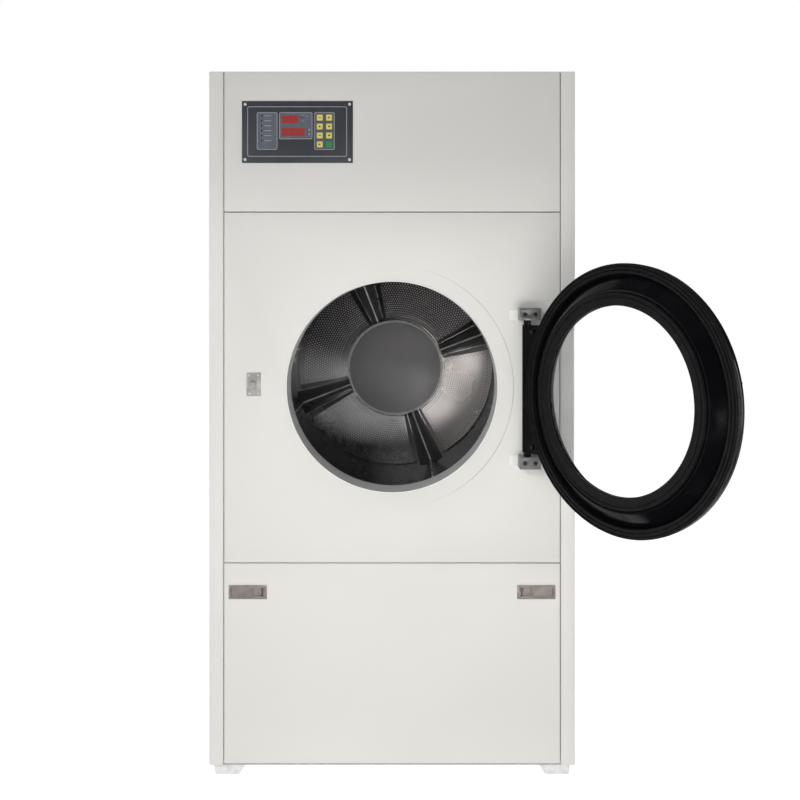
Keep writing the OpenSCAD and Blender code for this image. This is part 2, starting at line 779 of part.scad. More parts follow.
module latch_button() {
    r = 4;
    x = button_w / 2 - r;
    z = button_h / 2 - r;
    translate([button_x0 + button_w / 2, -front + 8, 0]) rotate([90, 0, 0])
        linear_extrude(9.5) polygon(concat(
        arc([x, z], r, 0, 90, 4), arc([-x, z], r, 90, 180, 4),
        arc([-x, -z], r, 180, 270, 4), arc([x, -z], r, 270, 360, 4)));
}

module latch_button_left() color(zinc) latch(0) latch_button();
module latch_button_right() color(zinc) latch(1) latch_button();

// Hinge bar with its journals and the leaf behind the door ring
module hinge_bar() color(black) swung() {
    block([hinge_x - bar_w / 2, hinge_y - bar_w / 2, axis_z - bar_half_len],
        [hinge_x + bar_w / 2, hinge_y + bar_w / 2, axis_z + bar_half_len]);
    translate([hinge_x, hinge_y, axis_z - bar_half_len - journal_len])
        cylinder(r = journal_r, h = 2 * (bar_half_len + journal_len));
    block([rim_r - 42, -door_outer - leaf_t, axis_z - bar_half_len + 12],
        [hinge_x + bar_w / 2, -door_outer, axis_z + bar_half_len - 12]);
}

// Pressed door ring: inner wall, outer face, rim, gasket seat, cone and ridge, with the boss of the handle
module door_ring() color(black) swung() on_axis() difference() {
    union() {
        turned(strip(rounded([
            [inner_wall_r, ridge_z + 13], [inner_wall_r, door_outer], [rim_r, door_outer],
            [rim_r, door_face + gasket_t], [cone_r, door_face + gasket_t], [ridge_r, ridge_z],
            [ridge_r - 7, ridge_z + 2], [inner_wall_r, ridge_z + 2]], 2.6), -door_sheet));
        translate([-handle_x, catch_z - axis_z, 0])
            disc(boss_r, door_outer - door_sheet - boss_len, door_outer - door_sheet / 2);
    }
    translate([-handle_x, catch_z - axis_z, 0])
        disc(spindle_r + fit, door_outer - door_sheet - boss_len - eps, door_outer + eps);
}

// Rubber gasket with two grooves in its face
module door_gasket() color(black) swung() on_axis() turned(concat(
    [[seat_r, door_face + gasket_t], [seat_r, door_face + 3], [seat_r + 2, door_face]],
    [for (i = [1, 2]) let (r = seat_r + i * gasket_w * 0.36) each
        [[r - 2, door_face], [r - 1, door_face + 3], [r + 1, door_face + 3], [r + 2, door_face]]],
    [[gasket_r - 2, door_face], [gasket_r, door_face + 3], [gasket_r, door_face + gasket_t]]));

module door_glass() color([0.75, 0.82, 0.8, 0.4]) swung() on_axis()
    disc(glass_r, ridge_z + 3, ridge_z + 3 + glass_t);

// Rubber profile that holds the glass in the ring
module glass_seal() color(black) swung() on_axis() {
    z0 = ridge_z - 5;
    glass_0 = ridge_z + 3 - weld;
    glass_1 = ridge_z + 3 + glass_t + weld;
    lip = ridge_r - 7.5;
    turned([[glass_clear_r, z0 + 3], [glass_clear_r + 2, z0], [lip - 12, z0], [lip - 11, z0 + 2],
        [lip - 8, z0 + 2], [lip - 7, z0], [lip - 2, z0], [lip, z0 + 3], [lip, ridge_z + 2 - weld],
        [inner_wall_r - weld, ridge_z + 2 - weld], [inner_wall_r - weld, ridge_z + 2 + door_sheet + weld],
        [lip - 4, ridge_z + 2 + door_sheet + weld], [lip - 5, ridge_z + 10], [inner_wall_r - 3, glass_1 + 3],
        [glass_clear_r + 2, glass_1 + 3], [glass_clear_r, glass_1 + 1], [glass_clear_r, glass_1],
        [glass_r + weld, glass_1], [glass_r + weld, glass_0], [glass_clear_r, glass_0]]);
}

// Turning handle, let go: hook with a mouth for the catch nose, spindle with its washer, and T-shaped grip
module door_handle() color(steel) swung() translate([-handle_x, -door_outer, catch_z]) rotate([0, 90, 0]) {
    inner_end = door_sheet + boss_len + clear;
    difference() {
        union() {
            block([-hook_len, -clear - hook_t, -hook_claw], [0, -clear, hook_web]);
            rotate([90, 0, 0]) disc(hook_web, clear, clear + hook_t);
        }
        block([-hook_len + slot_half, -clear - hook_t - eps, -hook_claw - eps],
            [-hook_len + 3 * slot_half, -clear + eps, nose_h / 2 + slot_clear]);
    }
    rotate([90, 0, 0]) {
        disc(spindle_r, -inner_end - washer_t, clear + hook_t / 2);
        disc(boss_r - 2, -inner_end - washer_t, -inner_end);
        disc(handle_r + 1, clear + hook_t / 2, handle_h);
    }
    translate([0, -handle_h, 0]) rotate([0, 90, 0]) turned(rounded([
        [0, -handle_len / 2], [handle_r, -handle_len / 2],
        [handle_r, handle_len / 2], [0, handle_len / 2]], 3));
}

// Bolt heads on the hinge leaf
module door_bolts() color(steel) swung() for (s = [-1, 1]) {
    translate([hinge_x - 32, -door_outer, axis_z + s * (bar_half_len - 30)]) rotate([-90, 0, 0])
        cylinder(r = 6.5, h = 4.5, $fn = 6);
    screw_head(rim_r - 28, axis_z + s * 50, -door_outer - leaf_t, 6, 4, 2.5);
}

// Drum cylinder with its front wall and lip, perforated between the lifters
module drum_shell() color(steel) on_axis() difference() {
    turned(strip(rounded([[lip_r, drum_front - felt_w - 6], [lip_r, drum_front],
        [drum_r + drum_t, drum_front], [drum_r + drum_t, drum_rear]], shell_bend), -drum_t));
    for (k = [0:3], j = [0:holes_across - 1], i = [0:hole_rows - 1])
        rotate([0, 0, lifter_angle + 45 + k * 90 + (j - (holes_across - 1) / 2) * hole_angle])
            translate([drum_r - 5, 0, drum_rear + 60 + i * (drum_len - 120) / (hole_rows - 1)])
                rotate([0, 90, 0]) cylinder(d = drum_hole_d, h = 12, $fn = 24);
}

function sector(r0, r1, half) = concat(arc([0, 0], r1, -half, half, 16), arc([0, 0], r0, half, -half, 12));

// Back wall with four air windows, flanged to the shell
module drum_back() color(steel) on_axis() difference() {
    turned([[0, drum_rear], [drum_r - weld, drum_rear], [drum_r - weld, wall_face + wall_flange],
        [drum_r - weld - drum_t, wall_face + wall_flange], [drum_r - weld - drum_t, wall_face],
        [0, wall_face]]);
    for (k = [0:3]) rotate([0, 0, lifter_angle + 45 + k * 90]) translate([0, 0, drum_rear - eps])
        linear_extrude(drum_t + 2 * eps) polygon(sector(screen_in + 20, screen_r - 20, screen_half - 6));
}

// Four raised perforated screens over the air windows
module air_screen() {
    rows = floor((screen_r - screen_in - screen_pitch) / screen_pitch);
    lip_angle = screen_t / screen_r * 180 / PI;
    translate([0, 0, screen_face - screen_t]) linear_extrude(screen_t) difference() {
        polygon(sector(screen_in, screen_r, screen_half));
        for (i = [0:rows]) let (r = screen_in + screen_pitch * 0.6 + i * screen_pitch,
            n = floor(2 * (screen_half - 3) * PI / 180 * r / screen_pitch))
            for (j = [0:n]) rotate([0, 0, (screen_half - 3) * (2 * j / n - 1)]) translate([r, 0])
                circle(d = screen_hole_d, $fn = 24);
    }
    for (a = [-screen_half + lip_angle / 2, screen_half - lip_angle / 2]) rotate([0, 0, a])
        block([screen_in, -screen_t / 2, wall_face],
            [screen_r - screen_t / 2, screen_t / 2, screen_face - screen_t]);
    translate([0, 0, wall_face]) linear_extrude(screen_h - screen_t)
        polygon(sector(screen_r - screen_t, screen_r, screen_half));
}

module air_screens() color(steel) on_axis() for (k = [0:3]) rotate([0, 0, lifter_angle + 45 + k * 90])
    air_screen();

// Smooth centre disc with a rolled rim
module hub_disc() color([0.6, 0.61, 0.63]) on_axis() turned(strip(rounded([[0, wall_face + disc_h],
    [disc_r - 6, wall_face + disc_h], [disc_r, wall_face + disc_h - 8], [disc_r, wall_face]], 5), -drum_t));

// Four folded lifters, each running into a rib on the back wall
module lifter_bar(in, z0, z1) translate([0, 0, z0]) linear_extrude(z1 - z0) polygon(concat(
    [[lifter_foot + 4 * in / drum_t, -lifter_half + 2 * in]], arc([lifter_top + 8, 0], 8 - in, 220, 140, 6),
    [[lifter_foot + 4 * in / drum_t, lifter_half - 2 * in]]));

// Ridge that widens and rises from the drum's axis
module ridge(r0, r1) {
    half = tan(45 - screen_half) - 3 * clear / screen_in;
    rise = rib_h / lifter_top;
    polyhedron([for (r = [r0, r1]) each [[r, -r * half, 0], [r, 0, r * rise], [r, r * half, 0]]],
        [[2, 1, 0], [3, 4, 5], [1, 4, 3, 0], [2, 5, 4, 1], [3, 5, 2, 0]]);
}

module lifter() {
    lifter_front = drum_front - shell_bend - weld;
    difference() {
        lifter_bar(0, wall_face, lifter_front);
        lifter_bar(drum_t, wall_face - eps, lifter_front - drum_t);
        translate([lifter_top - 2, -drum_r / 2, lifter_front - 50]) rotate([0, -40, 0])
            cube([drum_r, drum_r, 90]);
        ring(drum_r - drum_t - 2 * weld, drum_r + eps, wall_face - eps, wall_face + wall_flange + weld);
    }
    translate([0, 0, wall_face]) difference() {
        ridge(disc_r + 2, lifter_top + 12);
        translate([0, 0, -1.1 * drum_t]) ridge(disc_r + 2 - eps, lifter_top + 12 + eps);
    }
}

module drum_lifters() color(steel) on_axis() for (k = [0:3]) rotate([0, 0, lifter_angle + k * 90]) lifter();

// Drum shaft with a four-armed spider behind the back wall
module drum_shaft() color(grey) on_axis() {
    for (k = [0:3]) rotate([0, 0, lifter_angle + k * 90])
        block([0, -spider_half, spider_z], [drum_r - 20, spider_half, drum_rear - weld]);
    disc(hub_r, hub_z, drum_rear - weld);
    disc(shaft_r, shaft_end, hub_z);
}

// Half profile of a pulley's rim, and of its web and hub where the rim stands clear of the hub
function pulley_profile(r, bore, hub) =
    let (half = pulley_w / 2, bed = groove_w / 2, rim_in = r - belt_t - rim_t)
    concat([[bore, -half - hub_proud], [hub, -half - hub_proud]],
        rim_in > hub ? [[hub, -web_half], [rim_in, -web_half], [rim_in, -half]] : [[hub, -half]],
        [[r, -half], [r, -bed], [r - belt_t, -bed], [r - belt_t, bed], [r, bed], [r, half]],
        rim_in > hub ? [[rim_in, half], [rim_in, web_half], [hub, web_half], [hub, half]] : [],
        [[bore, half]]);

// Pulley with a belt groove, and round holes in its web
module pulley(r, z, bore, hub, holes) difference() {
    translate([0, 0, z]) turned(pulley_profile(r, bore, hub));
    if (holes > 0) for (k = [0:holes - 1]) rotate([0, 0, k * 360 / holes])
        translate([(hub + r - belt_t - rim_t) / 2, 0, z - 2 * web_half])
            cylinder(r = (r - belt_t - rim_t - hub) * 0.36, h = 4 * web_half);
}

module drum_pulley() color([0.3, 0.32, 0.35]) on_axis()
    pulley(drum_pulley_r, belt_2_z, shaft_r + weld / 2, shaft_r + 22, 6);

// Cast housing of the drum bearings, flanged on the bulkhead with six gussets
module bearing_housing() color([0.35, 0.4, 0.45]) on_axis() difference() {
    union() {
        disc(barrel_r, barrel_rear, barrel_front);
        disc(barrel_r + barrel_flange, bulk_rear - flange_t, bulk_rear);
        for (k = [0:5]) rotate([0, 0, k * 60]) rotate([90, 0, 0]) translate([0, 0, -5]) linear_extrude(10)
            polygon([[barrel_r - 2, bulk_rear - flange_t + 2],
                [barrel_r + barrel_flange - 7, bulk_rear - flange_t + 2],
                [barrel_r - 2, bulk_rear - flange_t - gusset_len]]);
    }
    disc(shaft_r + 8, barrel_rear - eps, barrel_front + eps);
    disc(drum_bearing_r + weld, barrel_front - bearing_w - 4, barrel_front + eps);
    disc(drum_bearing_r + weld, barrel_rear - eps, barrel_rear + bearing_w + 4);
    for (k = [0:5]) rotate([0, 0, 30 + k * 60])
        translate([barrel_r + barrel_flange * 2 / 3, 0, bulk_rear - flange_t - eps])
            cylinder(r = 7, h = flange_t + 2 * eps);
}

// Two bearings of the drum shaft and two of the countershaft
module shaft_bearings() color(steel) {
    on_axis() {
        ring(shaft_r + fit, drum_bearing_r, barrel_front - bearing_w - 4, barrel_front - 4);
        ring(shaft_r + fit, drum_bearing_r, barrel_rear + 4, barrel_rear + bearing_w + 4);
    }
    on_axis(counter) {
        ring(counter_shaft_r + fit, counter_bearing_r, bulk_rear - 16, bulk_rear - 2);
        ring(counter_shaft_r + fit, counter_bearing_r, bulk_rear - counter_barrel_len + 2,
            bulk_rear - counter_barrel_len + 16);
    }
}

// Bulkhead behind the drum, with the countershaft's barrel and the motor shelf
module rear_bulkhead() color(zinc) {
    difference() {
        union() {
            block([-side_in, -bulk_front, shelf_z + sheet], [side_in, -bulk_rear, top_seam_z]);
            for (x = [-side_in, side_in - bulk_t])
                block([x, -bulk_rear, shelf_z + sheet], [x + bulk_t, -bulk_rear + 25, top_seam_z]);
            block([-side_in, -bulk_rear, top_seam_z - bulk_t], [side_in, -bulk_rear + 25, top_seam_z]);
        }
        on_axis() disc(barrel_r + weld, bulk_rear - eps, bulk_front + eps);
    }
    on_axis(counter) difference() {
        union() {
            disc(counter_barrel_r, bulk_rear - counter_barrel_len, bulk_rear);
            disc(counter_barrel_r + 22, bulk_rear - 8, bulk_rear);
        }
        disc(counter_bearing_r + weld, bulk_rear - counter_barrel_len - eps, bulk_rear - 2);
    }
    block([motor_x - shelf_half, -bulk_rear + weld, motor_shelf_z - shelf_t],
        [motor_x + shelf_half, -motor_rear, motor_shelf_z]);
    for (x = [motor_x - shelf_half, motor_x + shelf_half - shelf_t])
        translate([x, 0, motor_shelf_z - shelf_t - weld]) rotate([90, 0, 90]) linear_extrude(shelf_t)
            polygon([[-bulk_rear + weld, 0], [-motor_rear - 20, 0], [-bulk_rear + weld, -120]]);
}

// Shroud round the drum, with the heater box on top and the lint chute below
module drum_shroud() color(zinc) difference() {
    union() {
        on_axis() disc(shroud_r + sheet, bulk_front, front - sheet);
        block([-heater_w / 2 - sheet, -heater_front - sheet, axis_z],
            [heater_w / 2 + sheet, -heater_rear + sheet, heater_top]);
        block([-chute_w / 2 - sheet, -chute_front - sheet, shelf_z + sheet],
            [chute_w / 2 + sheet, -chute_rear + sheet, axis_z]);
    }
    on_axis() disc(shroud_r, bulk_front - eps, front);
    block([-heater_w / 2, -heater_front, axis_z], [heater_w / 2, -heater_rear, heater_top + eps]);
    block([-chute_w / 2, -chute_front, shelf_z], [chute_w / 2, -chute_rear, axis_z]);
}

// Serpentine heating tube in two support plates
module heater_coil() color([0.5, 0.42, 0.36]) {
    y0 = (-heater_front - heater_rear) / 2 - (coil_runs - 1) / 2 * coil_pitch;
    for (i = [0:coil_runs - 1]) translate([-coil_half, y0 + i * coil_pitch, coil_z]) rotate([0, 90, 0])
        cylinder(r = coil_r, h = 2 * coil_half, $fn = 32);
    for (i = [0:coil_runs - 2]) let (s = i % 2 == 0 ? 1 : -1)
        translate([s * coil_half, y0 + (i + 0.5) * coil_pitch, coil_z]) rotate([0, 0, s > 0 ? -90 : 90])
            rotate_extrude(angle = 180) translate([coil_pitch / 2, 0]) circle(r = coil_r, $fn = 32);
    for (x = [-coil_half + 20, coil_half - 23])
        block([x, -heater_front, coil_z - 30], [x + 3, -heater_rear, coil_z + 30]);
}

// Countershaft with its large and small pulleys
module countershaft() color([0.3, 0.32, 0.35]) on_axis(counter) {
    disc(counter_shaft_r, counter_end, bulk_rear - 4);
    pulley(counter_big_r, belt_1_z, counter_shaft_r - 1, counter_shaft_r + 16, 5);
    pulley(counter_small_r, belt_2_z, counter_shaft_r - 1, counter_shaft_r + 4, 0);
}

// Motor with cooling ribs, end shield, foot and terminal box
module drive_motor() color([0.25, 0.35, 0.45]) on_axis(motor_at) difference() {
    union() {
        disc(motor_r - 6, motor_rear, motor_front);
        for (k = [0:23]) rotate([0, 0, k * 15])
            block([0, -1.5, motor_rear + motor_end], [motor_r, 1.5, motor_front - motor_end]);
        disc(motor_r, motor_front - motor_end, motor_front - motor_end / 3);
        disc(motor_r, motor_rear, motor_rear + motor_end);
        block([-motor_r + 10, -motor_r - motor_foot_h, motor_rear + 1.6 * motor_end],
            [motor_r - 10, -motor_r + 20, motor_front - 1.6 * motor_end]);
        block([motor_r - 20, -terminal_half, motor_rear + 2.2 * motor_end],
            [motor_r + 22, terminal_half, motor_front - 1.8 * motor_end]);
    }
    disc(motor_shaft_r + fit, motor_front - 42, motor_front + eps);
}

module motor_pulley() color([0.3, 0.32, 0.35]) on_axis(motor_at) {
    disc(motor_shaft_r, motor_front - 40, belt_1_z + pulley_w / 2);
    pulley(motor_pulley_r, belt_1_z, motor_shaft_r - 1, motor_shaft_r + 6, 0);
}

// Belt round two pulleys: one loop of its outline, d beyond the grooves' floors
function belt_loop(c0, r0, c1, r1, d) =
    let (v = c1 - c0, a = atan2(v[1], v[0]), b = acos((r0 - r1) / norm(v)), n = 40, m = 16,
        k0 = cos((180 - b) / n), k1 = cos(b / m))
    concat(arc(c0, (r0 - belt_t + d) / k0, a + b, a + 360 - b, n),
        arc(c1, (r1 - belt_t + d) / k1, a - b, a + b, m));

module belt(c0, r0, c1, r1, z) translate([0, 0, z - belt_w / 2]) linear_extrude(belt_w) difference() {
    polygon(belt_loop(c0, r0, c1, r1, belt_t + clear));
    polygon(belt_loop(c0, r0, c1, r1, clear));
}

module drive_belts() color([0.08, 0.08, 0.08]) on_axis() {
    belt(counter, counter_big_r, motor_at, motor_pulley_r, belt_1_z);
    belt([0, 0], drum_pulley_r, counter, counter_small_r, belt_2_z);
}

// The blower's side view, x towards the rear, y up and z towards the right
module in_blower() translate([-blower_x, blower_y, blower_z]) rotate([90, 0, 90]) children();

// Volute outline, g beyond its inner surface, with the outlet running to length l
function volute(g, l) = concat(
    [for (i = [0:36])
        let (t = i / 36, a = cut_angle - t * (270 + cut_angle),
            r = volute_r0 + (volute_r1 - volute_r0) * t + g)
        r * [cos(a), sin(a)]],
    [[l, volute_r1 + g], [l, -15 - g]]);

module blower_housing() color(zinc) {
    w = blower_w / 2;
    in_blower() difference() {
        translate([0, 0, -w - blower_wall]) linear_extrude(blower_w + 2 * blower_wall)
            polygon(volute(blower_wall, volute_out));
        translate([0, 0, -w]) linear_extrude(blower_w) polygon(volute(0, volute_out + eps));
        disc(wheel_r - 18, -w - blower_wall - eps, 0);
        disc(fan_shaft_r + 4, 0, w + blower_wall + eps);
    }
    for (x = [-1, 1]) block([-blower_x + x * (w - 12) - 12, blower_y - 30, pan_top],
        [-blower_x + x * (w - 12) + 12, blower_y + 30, blower_z - volute_foot - 1]);
}

// Squirrel-cage wheel with its back plate, hub and the motor's shaft
module blower_wheel() color(steel) in_blower() {
    w = blower_w / 2;
    for (k = [0:blade_count - 1]) rotate([0, 0, k * 360 / blade_count]) translate([wheel_r - 16, 0, -w + 15])
        rotate([0, 0, 35]) translate([0, -0.75, 0]) cube([16, 1.5, 2 * w - 34]);
    disc(wheel_r, w - 20, w - 17);
    ring(wheel_r - 19, wheel_r, -w + 14, -w + 16);
    disc(28, w - 40, w - 20);
    disc(fan_shaft_r, w - 60, w + blower_wall + 40);
}

module fan_motor() color([0.25, 0.35, 0.45]) {
    translate([0, blower_y, blower_z]) rotate([0, 90, 0]) difference() {
        union() {
            translate([0, 0, fan_motor_x0]) cylinder(r = fan_motor_r - 5, h = fan_motor_x1 - fan_motor_x0);
            translate([0, 0, fan_motor_x0 + 6]) cylinder(r = fan_motor_r, h = 20);
            translate([0, 0, fan_motor_x1 - 30]) cylinder(r = fan_motor_r, h = 24);
        }
        translate([0, 0, fan_motor_x0 - eps]) cylinder(r = fan_shaft_r + fit, h = 32);
    }
    block([fan_motor_x0 + 35, blower_y - 40, pan_top],
        [fan_motor_x1 - 40, blower_y + 40, blower_z - fan_motor_r + 20]);
}

// Round exhaust spigot, flanged on the rear panel
module exhaust_spigot() color(zinc) translate([-blower_x, 0, spigot_z]) rotate([-90, 0, 0]) difference() {
    union() {
        disc(spigot_r - weld, rear_in, front + spigot_len);
        disc(spigot_r + 22, rear_in + sheet, rear_in + 2 * sheet);
    }
    disc(spigot_r - weld - sheet, rear_in - eps, front + spigot_len + eps);
}

// Shelf round the chute's mouth, welded of four plates, with the drawer's two angle runners
module lint_shelf() color(zinc) {
    lip = 18;
    runner_x = drawer_w / 2 + clear;
    runner_z = drawer_top - drawer_h - clear - runner_t;
    difference() {
        block([-side_in, shelf_front, shelf_z], [side_in, -chute_front, shelf_z + sheet]);
        for (x = [-side_in, side_in - tube]) block([x - weld, shelf_front - eps, shelf_z - eps],
            [x + tube + weld, shelf_front + tube + weld, shelf_z + sheet + eps]);
    }
    block([-side_in, -chute_rear, shelf_z], [side_in, -bulk_rear, shelf_z + sheet]);
    for (s = [-1, 1]) mirror([s > 0 ? 0 : 1, 0, 0]) {
        block([chute_w / 2, -chute_front + weld, shelf_z], [side_in, -chute_rear - weld, shelf_z + sheet]);
        block([runner_x, shelf_front + 6, runner_z], [runner_x + runner_t, drawer_rear + 6, shelf_z - weld]);
        block([drawer_w / 2 - lip, shelf_front + 6, runner_z],
            [runner_x - weld, drawer_rear + 6, runner_z + runner_t]);
    }
}

// Lint drawer of spot-welded plates, with a barred screen as its floor and a pull on its front
module lint_drawer() color(steel) {
    bars_x = 16;
    bars_y = 3;
    margin = 30;
    bar_half = 3;
    wall = 1.5;
    pull_half = 60;
    pull_d = 14;
    x = drawer_w / 2;
    z0 = drawer_top - drawer_h;
    px = (drawer_w - 2 * margin) / bars_x;
    py = (drawer_rear - drawer_front - 2 * margin) / bars_y;
    difference() {
        block([-x, drawer_front, z0], [x, drawer_rear, z0 + wall]);
        for (i = [0:bars_x - 1], j = [0:bars_y - 1])
            translate([-x + margin + i * px + bar_half, drawer_front + margin + j * py + bar_half, z0 - eps])
                cube([px - 2 * bar_half, py - 2 * bar_half, wall + 2 * eps]);
    }
    for (y = [drawer_front, drawer_rear - wall])
        block([-x, y, z0 + wall + weld], [x, y + wall, drawer_top]);
    for (side = [-x, x - wall])
        block([side, drawer_front + wall + weld, z0 + wall + weld],
            [side + wall, drawer_rear - wall - weld, drawer_top]);
    block([-pull_half, drawer_front - pull_d, z0 + 18], [pull_half, drawer_front - weld, z0 + 21]);
    block([-pull_half, drawer_front - pull_d, z0 + 21 + weld],
        [pull_half, drawer_front - pull_d + 3, z0 + 34]);
}

cabinet_frame();
corner_feet();
side_panel_left();
side_panel_right();
top_panel();
rear_panel();
rear_cover();
control_panel();
front_panel();
door_collar();
collar_seal();
control_overlay();
display_windows();
key_1();
key_2();
key_3();
key_4();
key_5();
key_6();
key_7();
key_8();
control_board();
front_screws();
hinge_blocks();
door_catch();
lower_panel();
latch_frames();
latch_lever_left();
latch_lever_right();
latch_button_left();
latch_button_right();
hinge_bar();
door_ring();
door_gasket();
door_glass();
glass_seal();
door_handle();
door_bolts();
drum_shell();
drum_back();
air_screens();
hub_disc();
drum_lifters();
drum_shaft();
drum_pulley();
bearing_housing();
shaft_bearings();
rear_bulkhead();
drum_shroud();
heater_coil();
countershaft();
drive_motor();
motor_pulley();
drive_belts();
blower_housing();
blower_wheel();
fan_motor();
exhaust_spigot();
lint_shelf();
lint_drawer();
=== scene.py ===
# Looks of an industrial tumble dryer with its door open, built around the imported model.
import json
import math

import bpy
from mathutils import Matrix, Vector


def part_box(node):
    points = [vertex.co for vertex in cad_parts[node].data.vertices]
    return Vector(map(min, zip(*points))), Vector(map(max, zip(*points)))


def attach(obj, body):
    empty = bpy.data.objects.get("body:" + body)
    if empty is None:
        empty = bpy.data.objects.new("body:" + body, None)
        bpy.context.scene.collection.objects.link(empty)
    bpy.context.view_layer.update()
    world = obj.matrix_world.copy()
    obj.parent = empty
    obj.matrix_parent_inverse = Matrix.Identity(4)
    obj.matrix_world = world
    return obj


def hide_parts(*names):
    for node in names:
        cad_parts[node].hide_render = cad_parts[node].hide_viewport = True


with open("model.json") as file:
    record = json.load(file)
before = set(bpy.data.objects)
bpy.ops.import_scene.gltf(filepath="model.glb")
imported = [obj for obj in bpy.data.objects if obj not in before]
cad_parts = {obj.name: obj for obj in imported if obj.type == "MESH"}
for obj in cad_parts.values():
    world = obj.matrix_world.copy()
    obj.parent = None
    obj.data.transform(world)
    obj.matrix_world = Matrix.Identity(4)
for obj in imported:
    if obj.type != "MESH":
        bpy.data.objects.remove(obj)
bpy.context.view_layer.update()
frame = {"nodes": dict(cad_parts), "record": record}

scene = bpy.context.scene
MM = 0.001

# Places and sizes that the looks share with the construction, in metres and radians
AXIS_Z = 1.068
CABINET_GREY = (0.80, 0.795, 0.765)
GASKET_MARK = 0.332
FRONT_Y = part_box("front_panel")[0].y
OVERLAY_LOW, OVERLAY_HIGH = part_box("control_overlay")
DISC_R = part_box("hub_disc")[1].x
LIFTER_ANGLE = math.radians(21)

# Directions from the drum's axis of the painted shade that darkens the screens, of the painted glints near
# their outer edge, and of the painted light that brightens them
PAINTED_LIGHT_ANGLE = math.radians(-24)
PAINTED_SHADE_ANGLE = math.radians(95)
PAINTED_GLINT_ANGLE = math.radians(-115)


# Node materials

class Finish:
    """A Principled material whose colour, roughness and relief come from procedural textures."""

    def __init__(self, name, colour, roughness, metallic=0.0, **fixed):
        self.material = bpy.data.materials.new(name)
        self.material.use_nodes = True
        self.material.diffuse_color = (*colour, 1)
        self.tree = self.material.node_tree
        self.shader = self.tree.nodes["Principled BSDF"]
        self.colour = None
        self.normal = None
        self.set("Base Color", (*colour, 1))
        self.set("Roughness", roughness)
        self.set("Metallic", metallic)
        for key, value in fixed.items():
            self.set(key.replace("_", " ").title().replace("Ior", "IOR"), value)
        self.place = self.node("ShaderNodeTexCoord").outputs["Object"]
        self.base = (*colour, 1)

    def set(self, socket, value):
        self.shader.inputs[socket].default_value = value

    def join(self, value, socket):
        if isinstance(value, bpy.types.NodeSocket):
            self.tree.links.new(value, socket)
        else:
            socket.default_value = value

    def node(self, kind, inputs=(), **settings):
        made = self.tree.nodes.new(kind)
        for key, value in settings.items():
            setattr(made, key, value)
        for key, value in dict(inputs).items():
            self.join(value, made.inputs[key])
        return made

    def maths(self, operation, a, b=0.0):
        return self.node("ShaderNodeMath", {0: a, 1: b}, operation=operation).outputs[0]

    def dot(self, a, b):
        return self.node("ShaderNodeVectorMath", {0: a, 1: b}, operation="DOT_PRODUCT").outputs["Value"]

    def parts(self, vector=None):
        """The x, y and z of a vector, or of the place on the object."""
        return self.node("ShaderNodeSeparateXYZ", {0: vector or self.place}).outputs

    def noise(self, scale, detail=2.0, vector=None, roughness=0.5):
        inputs = {"Vector": vector or self.place, "Scale": scale, "Detail": detail, "Roughness": roughness}
        return self.node("ShaderNodeTexNoise", inputs).outputs["Fac"]

    def cells(self, scale):
        inputs = {"Vector": self.place, "Scale": scale}
        return self.node("ShaderNodeTexVoronoi", inputs, feature="F1").outputs["Distance"]

    def ramp(self, value, low, high, bottom=0.0, top=1.0):
        inputs = {"Value": value, "From Min": low, "From Max": high, "To Min": bottom, "To Max": top}
        return self.node("ShaderNodeMapRange", inputs).outputs[0]

    def tint(self, colour, share):
        """Mixes another colour in: none of it where share is 0, and only it where share is 1."""
        inputs = {0: share, 6: self.colour or self.base, 7: (*colour, 1)}
        self.colour = self.node("ShaderNodeMix", inputs, data_type="RGBA").outputs[2]
        self.tree.links.new(self.colour, self.shader.inputs["Base Color"])

    def sheen_range(self, value, low, high):
        """Roughness between low and high, following a texture."""
        self.tree.links.new(self.ramp(value, 0.3, 0.7, low, high), self.shader.inputs["Roughness"])

    def relief(self, height, depth, strength=1.0):
        """Bump of a real depth in metres."""
        inputs = {"Height": height, "Distance": depth, "Strength": strength}
        made = self.node("ShaderNodeBump", inputs)
        if self.normal:
            self.tree.links.new(self.normal, made.inputs["Normal"])
        self.normal = made.outputs[0]
        self.tree.links.new(self.normal, self.shader.inputs["Normal"])

    def around_axis(self):
        """The direction from the drum's axis as a vector, and the distance from it."""
        x, _, z = self.parts()
        up = self.maths("SUBTRACT", z, AXIS_Z)
        flat = self.node("ShaderNodeCombineXYZ", {0: x, 2: up}).outputs[0]
        radius = self.node("ShaderNodeVectorMath", {0: flat}, operation="LENGTH").outputs["Value"]
        way = self.node("ShaderNodeVectorMath", {0: flat}, operation="NORMALIZE").outputs[0]
        return way, radius


def powder_coat(name, colour):
    """Sheet metal's paint with a fine grain, and painted shade that makes it a little darker high up."""
    f = Finish(name, colour, 0.42)
    grain = f.noise(420, 3, roughness=0.6)
    height = f.parts()[2]
    # painted shade: the paint turns darker from 1.48 m up to 1.7 m high
    f.tint([c * 0.86 for c in colour], f.ramp(height, 1.48, 1.7))
    f.tint([c * 0.93 for c in colour], f.ramp(f.noise(1.7, 2), 0.35, 0.75, 0, 0.55))
    f.tint([c * 0.86 for c in colour], f.ramp(grain, 0.58, 0.8, 0, 0.35))
    f.sheen_range(f.noise(3, 3), 0.36, 0.5)
    f.relief(f.noise(170, 2), 0.00012, 0.5)
    f.relief(grain, 0.00009, 0.6)
    return f


def pressed_paint():
    """The panel's paint with the faint ring that the gasket has left on the hinge side."""
    f = powder_coat("pressed_paint", CABINET_GREY)
    way, radius = f.around_axis()
    line = f.ramp(f.maths("ABSOLUTE", f.maths("SUBTRACT", radius, GASKET_MARK)), 0.0013, 0.0004)
    side = f.ramp(f.parts(way)[0], 0.2, 0.7)
    patchy = f.ramp(f.noise(9, 2), 0.25, 0.6, 0.25, 0.8)
    f.tint((0.33, 0.325, 0.31), f.maths("MULTIPLY", f.maths("MULTIPLY", line, side), patchy))
    return f


